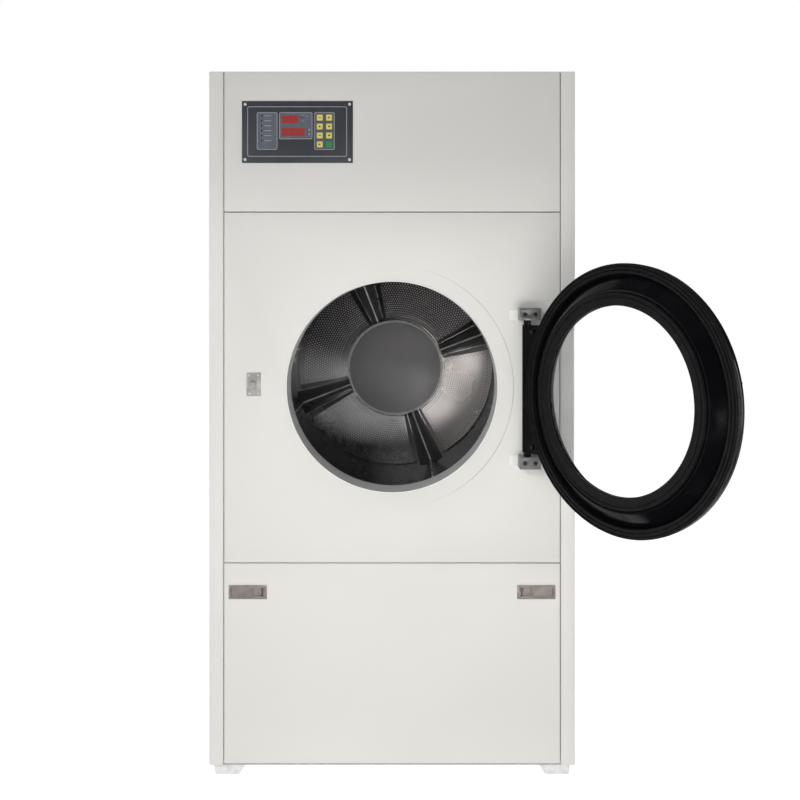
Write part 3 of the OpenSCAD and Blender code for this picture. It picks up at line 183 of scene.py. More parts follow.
def galvanised(name, colour):
    f = Finish(name, colour, 0.4, 0.85)
    spangle = f.cells(45)
    f.tint([c * 0.78 for c in colour], f.ramp(spangle, 0.1, 0.7))
    f.sheen_range(f.noise(60, 2), 0.3, 0.5)
    f.relief(f.noise(250, 2), 0.00004, 0.4)
    return f


def drum_steel(name, level, metallic):
    """Smeared bright steel, where level is its grey."""
    f = Finish(name, (level, level, 1.02 * level), 0.24, metallic)
    smears = f.noise(7, 4, roughness=0.6)
    f.tint([0.72 * level] * 3, f.ramp(smears, 0.4, 0.7, 0, 0.8))
    f.tint([1.3 * level, 1.26 * level, 1.22 * level], f.ramp(f.noise(31, 3), 0.58, 0.8, 0, 0.5))
    f.sheen_range(smears, 0.2, 0.3)
    f.relief(f.noise(120, 2), 0.00003, 0.5)
    f.relief(f.noise(900, 2), 0.00001, 0.4)
    return f


def screen_steel():
    """The screens' steel, with painted shade darkening it at the top, painted glints near its outer edge
    towards the lower left, and painted light brightening it on the lower right.
    """
    f = drum_steel("screen_steel", 0.30, 0.45)
    way, radius = f.around_axis()

    def toward(angle):
        """1 in the direction of the angle, 0 at right angles to it."""
        return f.dot(way, (math.cos(angle), 0, math.sin(angle)))

    # painted shade: the screens turn nearly black towards the top
    f.tint((0.035, 0.035, 0.035), f.ramp(toward(PAINTED_SHADE_ANGLE), 0.05, 0.4))
    # painted glints: a paler, finely speckled band near the outer edge towards the lower left
    painted_glint = f.maths("MULTIPLY", f.ramp(radius, 0.255, 0.30), f.ramp(toward(PAINTED_GLINT_ANGLE), 0.6, 0.85))
    f.tint((0.62, 0.62, 0.62), f.maths("MULTIPLY", painted_glint, f.ramp(f.noise(260, 2), 0.4, 0.6, 0.15, 1)))
    # painted light: the screens turn pale towards the lower right, in patches
    patches = f.ramp(f.noise(6, 2), 0.2, 0.8, 0.8, 1)
    f.tint((0.88, 0.83, 0.81), f.maths("MULTIPLY", f.ramp(toward(PAINTED_LIGHT_ANGLE), 0.72, 0.92), patches))
    return f


def painted_highlight(f, where):
    """Painted highlights on edges: a pale colour, less metallic, that scatters more light than the metal
    beside it.
    """
    f.tint((0.98, 0.97, 0.96), where)
    f.tree.links.new(f.ramp(where, 0, 1, 0.8, 0.0), f.shader.inputs["Metallic"])


def ridged_steel():
    """The drum's steel, with painted highlights along the crests of the lifters and their ribs."""
    f = drum_steel("ridged_steel", 0.26, 0.7)
    way, radius = f.around_axis()
    c, s = math.cos(LIFTER_ANGLE), math.sin(LIFTER_ANGLE)
    dots = [f.dot(way, v) for v in ((c, 0, s), (-s, 0, c))]
    off = f.maths("MULTIPLY", f.maths("ABSOLUTE", f.maths("MULTIPLY", *dots)), radius)
    patchy = f.ramp(f.noise(12, 3), 0.3, 0.6, 0.35, 1)
    # painted highlight: pale, patchy lines along the lifter crests and their ribs
    painted_highlight(f, f.maths("MULTIPLY", f.ramp(off, 0.0035, 0.0015), patchy))
    return f


def brushed_disc():
    """The centre disc's dull steel, brushed in rings, with a painted highlight on its rim."""
    f = Finish("brushed_disc", (0.29, 0.29, 0.30), 0.38, 0.8)
    _, radius = f.around_axis()
    rings = f.node("ShaderNodeCombineXYZ", {0: f.maths("MULTIPLY", radius, 260.0)}).outputs[0]
    f.tint((0.24, 0.24, 0.26), f.ramp(f.noise(1.0, 2, rings), 0.3, 0.7, 0, 0.5))
    f.tint((0.35, 0.335, 0.33), f.ramp(f.noise(5, 3), 0.45, 0.75, 0, 0.5))
    # painted highlight: a pale ring just inside the disc's rim
    painted_highlight(f, f.ramp(radius, DISC_R - 0.008, DISC_R - 0.0065))
    f.sheen_range(f.noise(7, 3), 0.36, 0.5)
    f.relief(f.noise(500, 2), 0.00002, 0.4)
    return f


def plated(name, colour, roughness):
    f = Finish(name, colour, roughness, 1.0)
    f.tint([c * 0.75 for c in colour], f.ramp(f.noise(90, 3), 0.5, 0.8, 0, 0.5))
    f.sheen_range(f.noise(140, 2), roughness * 0.7, roughness * 1.4)
    f.relief(f.noise(900, 2), 0.00001, 0.4)
    return f


def screw_metal():
    """Bright screws on the left, and blackened socket screws in the hinge blocks."""
    f = plated("screw_metal", (0.80, 0.80, 0.80), 0.3)
    f.set("Metallic", 0.35)
    f.tint((0.03, 0.03, 0.032), f.ramp(f.parts()[0], 0.29, 0.30))
    return f


def cast_metal(name, colour, roughness, metallic):
    f = Finish(name, colour, roughness, metallic)
    f.tint([c * 0.7 for c in colour], f.ramp(f.noise(70, 4), 0.45, 0.75, 0, 0.7))
    f.sheen_range(f.noise(110, 2), roughness * 0.8, roughness * 1.2)
    f.relief(f.noise(650, 3), 0.00008, 0.6)
    return f


def gloss_black():
    f = Finish("door_black", (0.003, 0.003, 0.004), 0.13, specular_ior_level=0.12)
    f.tint((0.008, 0.008, 0.01), f.ramp(f.noise(14, 4), 0.5, 0.8))
    f.sheen_range(f.noise(24, 3), 0.09, 0.24)
    f.relief(f.noise(38, 3), 0.0003, 0.25)
    f.relief(f.noise(420, 2), 0.00004, 0.35)
    return f


def rubber(name, colour):
    f = Finish(name, colour, 0.5, specular_ior_level=0.14)
    f.tint([c * 1.8 + 0.003 for c in colour], f.ramp(f.noise(30, 4), 0.5, 0.8, 0, 0.6))
    f.sheen_range(f.noise(80, 3), 0.38, 0.6)
    f.relief(f.noise(700, 2), 0.00005, 0.5)
    return f


def clear_glass():
    f = Finish("clear_glass", (0.965, 0.98, 0.975), 0.01, ior=1.45, transmission_weight=1.0)
    f.tint((0.95, 0.97, 0.965), f.ramp(f.noise(5, 2), 0.4, 0.7, 0, 0.5))
    f.relief(f.noise(6, 2), 0.0001, 0.1)
    return f


def moulded(name, colour, roughness):
    f = Finish(name, colour, roughness)
    f.tint([c * 0.8 for c in colour], f.ramp(f.noise(60, 3), 0.45, 0.8, 0, 0.5))
    f.sheen_range(f.noise(90, 2), roughness * 0.8, roughness * 1.25)
    f.relief(f.noise(1100, 2), 0.00002, 0.5)
    return f


def overlay_plastic():
    """The overlay's plastic, lighter inside the frame round the keys."""
    f = moulded("overlay_plastic", (0.05, 0.054, 0.064), 0.38)
    x, _, z = f.parts()
    middle_x, middle_z = OVERLAY_LOW.x + 0.2255, OVERLAY_HIGH.z - 0.082
    over = f.ramp(f.maths("ABSOLUTE", f.maths("SUBTRACT", x, middle_x)), 0.0275, 0.0270)
    up = f.ramp(f.maths("ABSOLUTE", f.maths("SUBTRACT", z, middle_z)), 0.0510, 0.0505)
    f.tint((0.095, 0.105, 0.125), f.maths("MULTIPLY", over, up))
    return f


def felt():
    f = Finish("felt", (0.30, 0.285, 0.25), 0.95, sheen_weight=0.3)
    f.tint((0.20, 0.19, 0.17), f.ramp(f.noise(260, 4), 0.4, 0.7))
    f.relief(f.noise(900, 3), 0.0004, 0.8)
    return f


# One finish for each material slot of the solids
FINISHES = {
    "cabinet_paint": powder_coat("cabinet_paint", CABINET_GREY),
    "zinc_sheet": galvanised("zinc_sheet", (0.55, 0.56, 0.57)),
    "foot_zinc": cast_metal("foot_zinc", (0.84, 0.85, 0.84), 0.45, 0.2),
    "drum_steel": drum_steel("drum_steel", 0.55, 0.65),
    "bright_steel": plated("bright_steel", (0.66, 0.66, 0.67), 0.22),
    "hinge_metal": cast_metal("hinge_metal", (0.36, 0.36, 0.37), 0.42, 0.8),
    "machined_steel": plated("machined_steel", (0.46, 0.46, 0.48), 0.34),
    "casting_paint": cast_metal("casting_paint", (0.10, 0.13, 0.16), 0.5, 0.0),
    "motor_paint": cast_metal("motor_paint", (0.07, 0.12, 0.19), 0.45, 0.0),
    "door_black": gloss_black(),
    "black_rubber": rubber("black_rubber", (0.008, 0.008, 0.009)),
    "belt_rubber": rubber("belt_rubber", (0.02, 0.02, 0.02)),
    "clear_glass": clear_glass(),
    "felt": felt(),
    "overlay_plastic": overlay_plastic(),
    "red_window": moulded("red_window", (0.36, 0.055, 0.055), 0.16),
    "key_yellow": moulded("key_yellow", (0.72, 0.62, 0.17), 0.4),
    "key_green": moulded("key_green", (0.03, 0.27, 0.10), 0.4),
    "board_green": moulded("board_green", (0.04, 0.10, 0.06), 0.5),
    "latch_metal": cast_metal("latch_metal", (0.44, 0.39, 0.36), 0.45, 0.5),
    "copper_brown": cast_metal("copper_brown", (0.30, 0.21, 0.16), 0.5, 0.7),
}

# Pieces with a finish of their own
OWN_FINISH = {
    "hub_disc": brushed_disc(),
    # The collar's paint is a lighter copy of the cabinet's grey: painted light on its lit inner surface
    "door_collar": powder_coat("collar_paint", (0.93, 0.93, 0.92)),
    "drum_lifters": ridged_steel(),
    "front_panel": pressed_paint(),
    "front_screws": screw_metal(),
    "door_bolts": plated("blackened", (0.05, 0.05, 0.052), 0.35),
    "door_catch": cast_metal("catch_steel", (0.60, 0.59, 0.57), 0.35, 0.4),
}


# CAD nodes keep their shape and get a finish, softened edges and smooth curves

SHARP_ANGLE = math.radians(32)
ROUNDED_ANGLE = math.radians(40)
WELD_DISTANCE = 0.00001
SMALL_EDGE = 0.0005


def smooth_group(angle):
    """Geometry nodes that shade smooth, apart from edges sharper than the angle."""
    group = bpy.data.node_groups.new("smooth_curves", "GeometryNodeTree")
    group.interface.new_socket("Geometry", in_out="INPUT", socket_type="NodeSocketGeometry")
    group.interface.new_socket("Geometry", in_out="OUTPUT", socket_type="NodeSocketGeometry")
    nodes = group.nodes
    entry = nodes.new("NodeGroupInput")
    leave = nodes.new("NodeGroupOutput")
    faces = nodes.new("GeometryNodeSetShadeSmooth")
    edges = nodes.new("GeometryNodeSetShadeSmooth")
    edges.domain = "EDGE"
    edges.inputs["Shade Smooth"].default_value = False
    turn = nodes.new("GeometryNodeInputMeshEdgeAngle")
    sharp = nodes.new("FunctionNodeCompare")
    sharp.operation = "GREATER_THAN"
    sharp.inputs[1].default_value = angle
    group.links.new(turn.outputs["Unsigned Angle"], sharp.inputs[0])
    group.links.new(entry.outputs[0], faces.inputs[0])
    group.links.new(faces.outputs[0], edges.inputs[0])
    group.links.new(sharp.outputs[0], edges.inputs["Selection"])
    group.links.new(edges.outputs[0], leave.inputs[0])
    return group


SMOOTH = smooth_group(SHARP_ANGLE)


def smooth_curves(obj):
    smooth = obj.modifiers.new("smooth", "NODES")
    smooth.node_group = SMOOTH


def soften(obj, width):
    """Joins the mesh's split corners, rounds its edges and smooths its curves."""
    weld = obj.modifiers.new("weld", "WELD")
    weld.merge_threshold = WELD_DISTANCE
    if width:
        bevel = obj.modifiers.new("bevel", "BEVEL")
        bevel.width = width
        bevel.segments = 2
        bevel.limit_method = "ANGLE"
        bevel.angle_limit = ROUNDED_ANGLE
        bevel.use_clamp_overlap = True
        bevel.harden_normals = False
    smooth_curves(obj)


def paint(obj, finish):
    obj.data.materials.clear()
    obj.data.materials.append(finish.material)


# Widths of the rounded edges in metres
EDGE = {
    "hinge_blocks": 0.0012, "door_handle": 0.0006, "door_catch": 0.0005, "latch_frames": 0.0005,
    "control_overlay": 0.0007, "front_panel": 0.0008, "control_panel": 0.0008, "lower_panel": 0.0008,
    "top_panel": 0.0008, "hinge_bar": 0.0008, "rear_cover": 0.0008, "corner_feet": 0.0006,
    "drum_lifters": 0.0018, "hub_disc": 0.003, "front_screws": 0.0004, "door_bolts": 0.0006,
}
for row in frame["record"]["subparts"]:
    node = row["node"]
    cad = frame["nodes"][node]
    paint(cad, OWN_FINISH.get(node, FINISHES[row["material_slot"]]))
    small = node.startswith(("key_", "latch_lever", "latch_button"))
    soften(cad, SMALL_EDGE if small else EDGE.get(node, 0.0))


# Meshes built here

def add_piece(name, vertices, faces, finish, body, replaces=()):
    mesh = bpy.data.meshes.new(name)
    mesh.from_pydata(vertices, [], faces)
    mesh.update()
    mesh.materials.append(finish.material)
    obj = bpy.data.objects.new(name, mesh)
    scene.collection.objects.link(obj)
    smooth_curves(obj)
    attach(obj, body)
    if replaces:
        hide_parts(*replaces)


# Points nearer than 5 micrometres are one point
GRID_PER_M = 2e5
HOLE_CORNERS = 8


class Sheet:
    """Vertices and faces of thin sheet parts, with points that lie together shared."""

    def __init__(self):
        self.points = []
        self.index = {}
        self.faces = []

    def point(self, p):
        key = tuple(round(c * GRID_PER_M) for c in p)
        if key not in self.index:
            self.index[key] = len(self.points)
            self.points.append(tuple(p))
        return self.index[key]

    def face(self, corners):
        ids = []
        for p in corners:
            i = self.point(p)
            if i not in ids:
                ids.append(i)
        if len(ids) > 2:
            self.faces.append(ids)

    def plain(self, at, u0, u1, nu, v0, v1, nv):
        """A surface patch without holes, where at(u, v) gives a point."""
        us = [u0 + (u1 - u0) * i / nu for i in range(nu + 1)]
        vs = [v0 + (v1 - v0) * j / nv for j in range(nv + 1)]
        grid = [[at(u, v) for v in vs] for u in us]
        for i in range(nu):
            for j in range(nv):
                self.face([grid[i][j], grid[i + 1][j], grid[i + 1][j + 1], grid[i][j + 1]])

    def perforated(self, at, scale, u0, u1, nu, v0, v1, nv, hole_r, deep):
        """Staggered round holes with rims: nu by nv lattice steps, a hole on every other lattice point.
        scale(v) gives metres per unit of u and of v, and at(u, v, depth) a point below the surface."""
        du, dv = (u1 - u0) / nu, (v1 - v0) / nv
        rim = [math.radians(360 / HOLE_CORNERS * k) for k in range(HOLE_CORNERS)]
        around = [(1, 0), (0.5, 0.5), (0, 1), (-0.5, 0.5), (-1, 0), (-0.5, -0.5), (0, -1), (0.5, -0.5)]
        for i in range(nu + 1):
            for j in range(i % 2, nv + 1, 2):
                u, v = u0 + i * du, v0 + j * dv
                cell = [(i + a, j + b) for a, b in around]
                inside = [0 <= a <= nu and 0 <= b <= nv for a, b in cell]
                if not all(inside):
                    edge = [c if ok else (i, j) for c, ok in zip(cell, inside)]
                    self.face([at(u0 + a * du, v0 + b * dv, 0) for a, b in edge])
                    continue
                su, sv = scale(v)
                hole = [(u + hole_r * math.cos(t) / su, v + hole_r * math.sin(t) / sv) for t in rim]
                outer = [at(u0 + a * du, v0 + b * dv, 0) for a, b in cell]
                top = [at(a, b, 0) for a, b in hole]
                low = [at(a, b, deep) for a, b in hole]
                for k in range(HOLE_CORNERS):
                    n = (k + 1) % HOLE_CORNERS
                    self.face([outer[k], outer[n], top[n], top[k]])
                    self.face([top[k], top[n], low[n], low[k]])


def drum_point(r, angle, y):
    return (r * math.cos(angle), y, AXIS_Z + r * math.sin(angle))


# Sizes of the drum and its screens, and the spacing of their fine holes
DRUM_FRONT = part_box("drum_shell")[0].y
DRUM_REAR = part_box("drum_shell")[1].y
DRUM_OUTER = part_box("drum_shell")[1].x
DRUM_T = 2 * MM
DRUM_R = DRUM_OUTER - DRUM_T
DRUM_HOLE_R = 2.9 * MM
DRUM_STEP = 5.2 * MM
DRUM_ROW = 9 * MM
DRUM_BEND = 6 * MM
PLAIN_FRONT = 26 * MM
PLAIN_REAR = 30 * MM
LIP_R = 0.301
LIP_DEPTH = 18 * MM
TURN = 2 * math.pi
QUARTER = math.radians(90)
PANEL_HALF = math.radians(38)
LIFTERS = 4
SCREEN_IN = DISC_R + 5 * MM
SCREEN_T = 1.5 * MM
SCREEN_HOLE_R = 2.3 * MM
SCREEN_STEP = 4.1 * MM
SCREEN_ROW = SCREEN_STEP * 1.73
SCREEN_HALF = math.radians(34.5)
SCREEN_FOOT = math.radians(38)
DISH = 6 * MM


def perforated_drum():
    """The drum's cylinder, perforated between the lifters, and its front wall with the rolled lip."""
    s = Sheet()
    bent = DRUM_FRONT + DRUM_T + DRUM_BEND
    y0, y1 = DRUM_FRONT + PLAIN_FRONT, DRUM_REAR - PLAIN_REAR
    nu = 2 * round(PANEL_HALF * DRUM_R / DRUM_STEP)
    nv = 2 * round((y1 - y0) / DRUM_ROW / 2)

    def wall(a, y, d=0.0):
        return drum_point(DRUM_R + d, a, y)

    for k in range(LIFTERS):
        middle = LIFTER_ANGLE + (k + 0.5) * QUARTER
        low, high = middle - PANEL_HALF, middle + PANEL_HALF
        s.perforated(wall, lambda y: (DRUM_R, 1), low, high, nu, y0, y1, nv, DRUM_HOLE_R, DRUM_T)
        s.plain(wall, low, high, nu // 2, y1, DRUM_REAR, 2)
        s.plain(wall, low, high, nu // 2, bent, y0, 2)
        s.plain(wall, high, low + QUARTER, 8, bent, DRUM_REAR, 6)
    profile = [(DRUM_R, bent)]
    profile += [(DRUM_R - DRUM_BEND + DRUM_BEND * math.cos(t), bent - DRUM_BEND * math.sin(t))
                for t in (math.radians(30 * i) for i in range(1, 4))]
    profile += [(LIP_R + DRUM_T, DRUM_FRONT + DRUM_T), (LIP_R + DRUM_T, DRUM_FRONT + LIP_DEPTH),
                (LIP_R, DRUM_FRONT + LIP_DEPTH), (LIP_R, DRUM_FRONT), (DRUM_OUTER - DRUM_BEND, DRUM_FRONT),
                (DRUM_OUTER, DRUM_FRONT + DRUM_BEND), (DRUM_OUTER, DRUM_FRONT + 3 * DRUM_BEND)]
    for (r0, z0), (r1, z1) in zip(profile, profile[1:]):
        s.plain(lambda a, t: drum_point(r0 + (r1 - r0) * t, a, z0 + (z1 - z0) * t), 0, TURN, 192, 0, 1, 1)
    add_piece("perforated_drum", s.points, s.faces, FINISHES["drum_steel"],
              "drum", ["drum_shell"])


def perforated_screens():
    """Four perforated sheets on the drum's back wall, slightly dished, each with sloping folded edges."""
    s = Sheet()
    face_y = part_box("air_screens")[0].y
    wall_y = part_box("air_screens")[1].y
    r0, r1 = SCREEN_IN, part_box("air_screens")[1].x - 1 * MM
    nu = 2 * round(SCREEN_HALF * (r0 + r1) / 2 / SCREEN_STEP)
    nv = 2 * round((r1 - r0) / SCREEN_ROW / 2)

    def dished(a, r, d=0.0):
        return drum_point(r, a, face_y + DISH * (r1 - r) / (r1 - r0) + d)

    def folded(a, r, t):
        """A point of a folded edge, t of the way from the face to the wall."""
        return drum_point(r, a, (face_y + DISH * (r1 - r) / (r1 - r0)) * (1 - t) + wall_y * t)

    for k in range(LIFTERS):
        middle = LIFTER_ANGLE + (k + 0.5) * QUARTER
        low, high = middle - SCREEN_HALF, middle + SCREEN_HALF
        s.perforated(dished, lambda r: (r, 1), low, high, nu, r0, r1, nv, SCREEN_HOLE_R, SCREEN_T)
        for side in (-1, 1):
            def slope(t, r):
                half = SCREEN_HALF + (SCREEN_FOOT - SCREEN_HALF) * t
                return folded(middle + side * half, r, t)

            s.plain(slope, 0, 1, 2, r0, r1, nv)
        for r in (r0, r1):
            s.plain(lambda a, t: folded(a, r, t), low, high, nu // 2, 0, 1, 2)
    add_piece("perforated_screens", s.points, s.faces, screen_steel(),
              "drum", ["air_screens"])


perforated_drum()
perforated_screens()


PAD_LEFT, PAD_RIGHT = 0.321, 0.3445
PAD_TALL = 26 * MM
PAD_PROUD = 1.5 * MM
PAD_SUNK = 0.1 * MM


def hinge_pads():
    """White plastic pads on the panel beside the two hinge blocks."""
    finish = moulded("pad_white", (0.93, 0.93, 0.92), 0.35)
    for name, low in (("hinge_pad_top", 1.252), ("hinge_pad_bottom", 0.856)):
        x0, x1, z0, z1 = PAD_LEFT, PAD_RIGHT, low, low + PAD_TALL
        y0, y1 = FRONT_Y - PAD_PROUD, FRONT_Y + PAD_SUNK
        corners = [(x, y, z) for y in (y0, y1) for x, z in ((x0, z0), (x1, z0), (x1, z1), (x0, z1))]
        sides = [(0, 1, 2, 3), (7, 6, 5, 4), (0, 4, 5, 1), (1, 5, 6, 2), (2, 6, 7, 3), (3, 7, 4, 0)]
        add_piece(name, corners, sides, finish, "cabinet")


hinge_pads()


# Printed and raised marks of the control overlay, in millimetres from its upper left corner

OVERLAY_FACE = OVERLAY_LOW.y
CORNER_STEPS = 5
CIRCLE_STEPS = 16


def overlay_point(u, v, proud):
    return (OVERLAY_LOW.x + u * MM, OVERLAY_FACE - proud * MM, OVERLAY_HIGH.z - v * MM)


def on_circle(u, v, r, degrees):
    return (u + r * math.cos(math.radians(degrees)), v + r * math.sin(math.radians(degrees)))


def round_rect(u0, v0, u1, v1, r):
    corners = [(u1 - r, v1 - r, 0), (u0 + r, v1 - r, 90), (u0 + r, v0 + r, 180), (u1 - r, v0 + r, 270)]
    return [on_circle(u, v, r, a + 90 * i / CORNER_STEPS)
            for u, v, a in corners for i in range(CORNER_STEPS + 1)]


def printed(name, shapes, finish, proud=0.12):
    """Flat prints with a little thickness: an outline is a pair of rings, and a filled shape one ring."""
    vertices, faces = [], []
    for shape in shapes:
        rings = shape if isinstance(shape[0], list) else [shape]
        n = len(rings[0])
        start = len(vertices)
        for height in (proud, 0.0):
            for ring in rings:
                vertices += [overlay_point(u, v, height) for u, v in ring]
        if len(rings) == 1:
            faces.append([start + i for i in range(n)])
            for i in range(n):
                j = (i + 1) % n
                faces.append([start + i, start + j, start + n + j, start + n + i])
        else:
            for i in range(n):
                j = (i + 1) % n
                faces.append([start + i, start + j, start + n + j, start + n + i])
                faces.append([start + i, start + j, start + 2 * n + j, start + 2 * n + i])
                faces.append([start + n + i, start + n + j, start + 3 * n + j, start + 3 * n + i])
    add_piece(name, vertices, faces, finish, "cabinet")


def outline(u0, v0, u1, v1, r, line):
    inner = round_rect(u0 + line, v0 + line, u1 - line, v1 - line, max(r - line, 0.5))
    return [round_rect(u0, v0, u1, v1, r), inner]


def circle(u, v, r):
    return [on_circle(u, v, r, 360 * i / CIRCLE_STEPS) for i in range(CIRCLE_STEPS)]


def bar(u0, v0, u1, v1):
    return [(u0, v0), (u1, v0), (u1, v1), (u0, v1)]


LINE_PRINT = moulded("line_print", (0.36, 0.38, 0.42), 0.45)
FIELD_PRINT = moulded("field_print", (0.12, 0.135, 0.165), 0.42)
DARK_PRINT = moulded("dark_print", (0.02, 0.018, 0.014), 0.4)
LED_RED = moulded("led_red", (0.30, 0.05, 0.04), 0.2)

# Left, upper, right and lower edges of the overlay's three fields
LAMP_FIELD = (41, 31, 97, 133)
DISPLAY_FIELD = (102, 31, 192.5, 104)
KEY_FIELD = (198, 31, 253, 133)
LAMP_ROWS = [40.5 + 13.5 * i for i in range(6)]


def overlay_marks():
    """Fields, frame lines, small bars in place of words, and unlit lamps."""
    fields = [round_rect(*field, 4) for field in (LAMP_FIELD, DISPLAY_FIELD)]
    printed("overlay_fields", fields, FIELD_PRINT, 0.05)
    lines = [outline(15, 15, 287, 152, 5, 1.7)]
    lines += [outline(*field, 4, 1.6) for field in (LAMP_FIELD, DISPLAY_FIELD, KEY_FIELD)]
    printed("overlay_lines", lines, LINE_PRINT)
    ticks = [bar(61, v - 0.8, 80, v + 0.8) for v in LAMP_ROWS]
    ticks += [circle(178, 41, 1.6), circle(184, 78.5, 2.2), circle(184, 91, 2.2)]
    ticks += [bar(163, 38, 171, 39.4), bar(163, 54, 171, 55.4)]
    printed("overlay_ticks", ticks, LINE_PRINT, 0.1)
    leds = [circle(54, v, 2.4) for v in LAMP_ROWS]
    leds += [circle(163.5, 45, 1.8), circle(178, 78.5, 1.6), circle(178, 91, 1.6)]
    printed("overlay_leds", leds, DARK_PRINT, 0.25)


def digit(u, v, w, h, line):
    """The seven segments of an unlit figure eight."""
    half = h / 2
    parts = [bar(u + line, v + k * half - line / 2, u + w - line, v + k * half + line / 2) for k in range(3)]
    for k in range(2):
        for x in (u, u + w):
            parts.append(bar(x - line / 2, v + k * half + line, x + line / 2, v + (k + 1) * half - line))
    return parts


def display_digits():
    """Three unlit figures in the upper window and four in the lower one."""
    shapes = []
    for i in range(3):
        shapes += digit(116 + 13.5 * i, 43.5, 7.5, 13, 1.3)
    for i in range(4):
        shapes += digit(116 + 14.5 * i, 78, 8, 13.5, 1.4)
    printed("display_digits", shapes, LED_RED, 0.42)


overlay_marks()
display_digits()


# Signs of the yellow keys, of which those not named have an arrow head
YELLOW_KEYS = 7
DOT_KEYS = (2, 3, 5)
BAR_KEYS = (0, 4)


def key_sign(i, u, v):
    if i in DOT_KEYS:
        return circle(u, v, 2.6)
    if i in BAR_KEYS:
        return bar(u - 3.4, v - 0.9, u + 3.4, v + 0.9)
    return [(u - 2.6, v - 3), (u + 3, v), (u - 2.6, v + 3)]


def key_marks():
    """A plain sign on each yellow key: a dot, a bar or an arrow head."""
    for i in range(YELLOW_KEYS):
        name = "key_%d" % (i + 1)
        low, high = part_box(name)
        u = ((low.x + high.x) / 2 - OVERLAY_LOW.x) / MM
        v = (OVERLAY_HIGH.z - (low.z + high.z) / 2) / MM
        proud = (OVERLAY_FACE - low.y) / MM
        shape = key_sign(i, u, v)
        vertices = [overlay_point(a, b, proud + h) for h in (0.1, 0.0) for a, b in shape]
        n = len(shape)
        faces = [list(range(n))] + [[k, (k + 1) % n, n + (k + 1) % n, n + k] for k in range(n)]
        add_piece(name + "_mark", vertices, faces, DARK_PRINT, name)


key_marks()


# Camera: level, in front of the machine, with the photograph's framing

PHOTO = 800
PX_PER_M = 366.0
CAMERA_BACK = 2.950
CAMERA_X = 0.045
CAMERA_Z = 1.343
SENSOR = 36.0
MIDDLE_U, MIDDLE_V = 408.5, 286.35

camera_data = bpy.data.cameras.new("camera")
camera = bpy.data.objects.new("camera", camera_data)
scene.collection.objects.link(camera)
camera.location = (CAMERA_X, FRONT_Y - CAMERA_BACK, CAMERA_Z)
camera.rotation_euler = (math.radians(90), 0, 0)
camera_data.sensor_width = SENSOR
camera_data.lens = SENSOR * PX_PER_M * CAMERA_BACK / PHOTO
camera_data.shift_x = (PHOTO / 2 - MIDDLE_U) / PHOTO
camera_data.shift_y = (MIDDLE_V - PHOTO / 2) / PHOTO
scene.camera = camera


# Floor, world and lamps

FLOOR_SIZE = 30
FLOOR_GLOW = 0.83
# Strengths of the world for light, for reflections and for what is seen through the glass
AMBIENT = 0.26
MIRRORED = 0.15
THROUGH_GLASS = 1.1
WHITE = (1, 1, 1, 1)


def shown_rays(finish):
    """1 for camera, glossy and transmission rays, which show the white background."""
    rays = finish.node("ShaderNodeLightPath").outputs
    seen = finish.maths("MAXIMUM", rays["Is Camera Ray"], rays["Is Glossy Ray"])
    return finish.maths("MAXIMUM", seen, rays["Is Transmission Ray"])


def make_floor():
    """A pale floor that catches the object's shadow and shows nearly white."""
    s = FLOOR_SIZE
    mesh = bpy.data.meshes.new("floor")
    mesh.from_pydata([(-s, -s, 0), (s, -s, 0), (s, s, 0), (-s, s, 0)], [], [(0, 1, 2, 3)])
    floor = bpy.data.objects.new("floor", mesh)
    scene.collection.objects.link(floor)
    f = Finish("floor", (0.86, 0.86, 0.85), 0.7)
    f.tint((0.82, 0.82, 0.81), f.ramp(f.noise(2, 3), 0.4, 0.7))
    strength = f.maths("MULTIPLY", shown_rays(f), FLOOR_GLOW)
    glow = f.node("ShaderNodeEmission", {"Color": WHITE, "Strength": strength})
    both = f.node("ShaderNodeAddShader", {0: f.shader.outputs[0], 1: glow.outputs[0]})
    f.tree.links.new(both.outputs[0], f.tree.nodes["Material Output"].inputs["Surface"])
    mesh.materials.append(f.material)


def make_world():
    """White for camera and transmission rays, AMBIENT for light, MIRRORED for reflections."""
    world = bpy.data.worlds.new("studio")
    scene.world = world
    world.use_nodes = True
    nodes, links = world.node_tree.nodes, world.node_tree.links
    rays = nodes.new("ShaderNodeLightPath").outputs
    level = None
    for ray, change in (("Is Glossy Ray", MIRRORED - AMBIENT), ("Is Camera Ray", 1 - AMBIENT),
                        ("Is Transmission Ray", THROUGH_GLASS - MIRRORED)):
        step = nodes.new("ShaderNodeMath")
        step.operation = "MULTIPLY_ADD"
        links.new(rays[ray], step.inputs[0])
        step.inputs[1].default_value = change
        step.inputs[2].default_value = AMBIENT
        if level:
            links.new(level, step.inputs[2])
        level = step.outputs[0]
    sky = nodes["Background"]
    sky.inputs["Color"].default_value = WHITE
    links.new(level, sky.inputs["Strength"])


def lamp(name, place, aim, size, watts, colour=(1, 1, 1)):
    data = bpy.data.lights.new(name, "AREA")
    data.shape = "RECTANGLE"
    data.size, data.size_y = size
    data.energy = watts
    data.color = colour
    obj = bpy.data.objects.new(name, data)
    scene.collection.objects.link(obj)
    obj.visible_glossy = False
    obj.location = place
    obj.rotation_euler = (Vector(aim) - Vector(place)).to_track_quat("-Z", "Y").to_euler()


DARK = (0.02, 0.02, 0.02)
PALE = (0.8, 0.8, 0.8)
CARD_TINT = (1, 0.95, 0.93, 1)
CARD_Y = -4.6


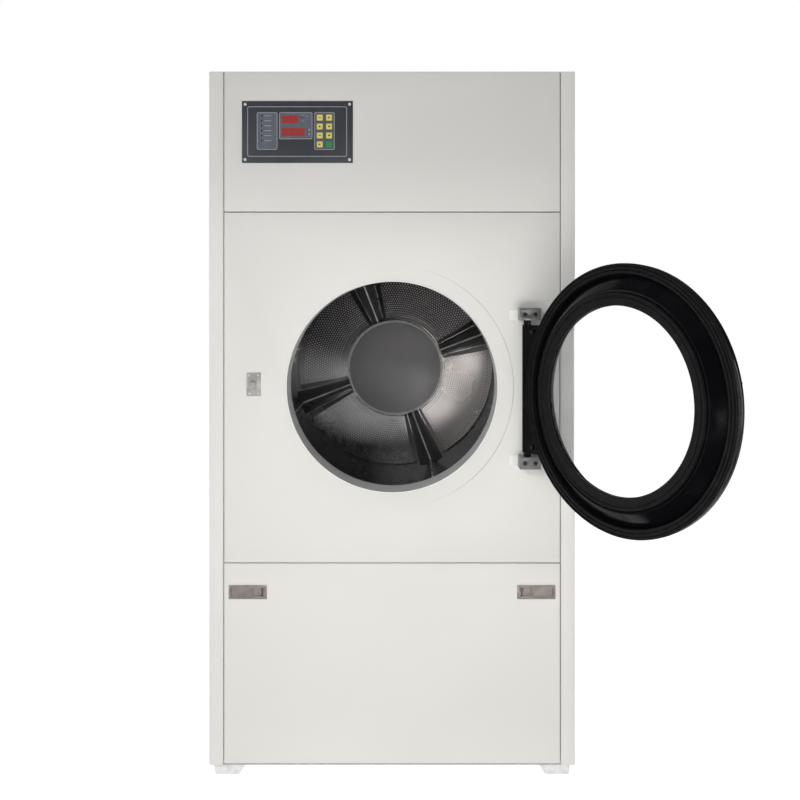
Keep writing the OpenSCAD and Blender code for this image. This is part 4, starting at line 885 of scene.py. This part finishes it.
def upright(x0, z0, x1, z1):
    """The corners of an upright card behind the camera."""
    return [(x0, CARD_Y, z0), (x1, CARD_Y, z0), (x1, CARD_Y, z1), (x0, CARD_Y, z1)]


def make_card(name, corners, colour, glow=0.0):
    """A studio card that only reflections show: dark, or with a glow of its own."""
    mesh = bpy.data.meshes.new(name)
    mesh.from_pydata(corners, [], [range(len(corners))])
    card = bpy.data.objects.new(name, mesh)
    scene.collection.objects.link(card)
    f = Finish(name, colour, 0.9, specular_ior_level=0.0, emission_color=CARD_TINT, emission_strength=glow)
    f.tint([c * 0.8 for c in colour], f.ramp(f.noise(2, 2), 0.4, 0.7))
    mesh.materials.append(f.material)
    card.visible_camera = False
    card.visible_diffuse = False
    card.visible_shadow = False
    card.visible_transmission = False


make_floor()
make_world()
lamp("low_front", (0.3, -3.2, 0.35), (0.1, -0.5, 0.35), (2.6, 0.7), 34, (1, 0.985, 0.96))
lamp("key", (-1.5, -4.2, 2.5), (0.2, 0.2, 0.9), (0.5, 0.5), 46)
lamp("overhead", (-0.6, 0.6, 4.2), (0, 0.4, 1), (3.2, 3.2), 16)
lamp("left_side", (-3.6, 1.0, 1.8), (0, 0, 1), (2.2, 2.2), 22)
lamp("right_side", (3.6, 1.2, 1.8), (0, 0, 1), (2.2, 2.2), 22)
make_card("card_high", upright(-3, 0.95, 3, 4), DARK)
make_card("card_low", upright(-3, 0.02, 0.0, 0.95), DARK)
make_card("card_bright", upright(0.10, 0.25, 0.55, 0.70), PALE, 15.0)
make_card("card_corner", upright(0.0, 0.70, 3, 0.95), DARK)
make_card("strip_left", [(-3.1, -3.4, 0.3), (-2.7, -3.7, 0.3), (-2.7, -3.7, 2.4), (-3.1, -3.4, 2.4)],
          PALE, 5.0)
make_card("strip_right", [(3.3, -1.6, 0.4), (3.3, -1.1, 0.4), (3.3, -1.1, 2.2), (3.3, -1.6, 2.2)],
          PALE, 5.0)
make_card("card_floor", [(-2.5, -4.6, 0.01), (2.5, -4.6, 0.01), (2.5, -0.75, 0.01), (-2.5, -0.75, 0.01)],
          DARK)

scene.view_settings.view_transform = "Standard"
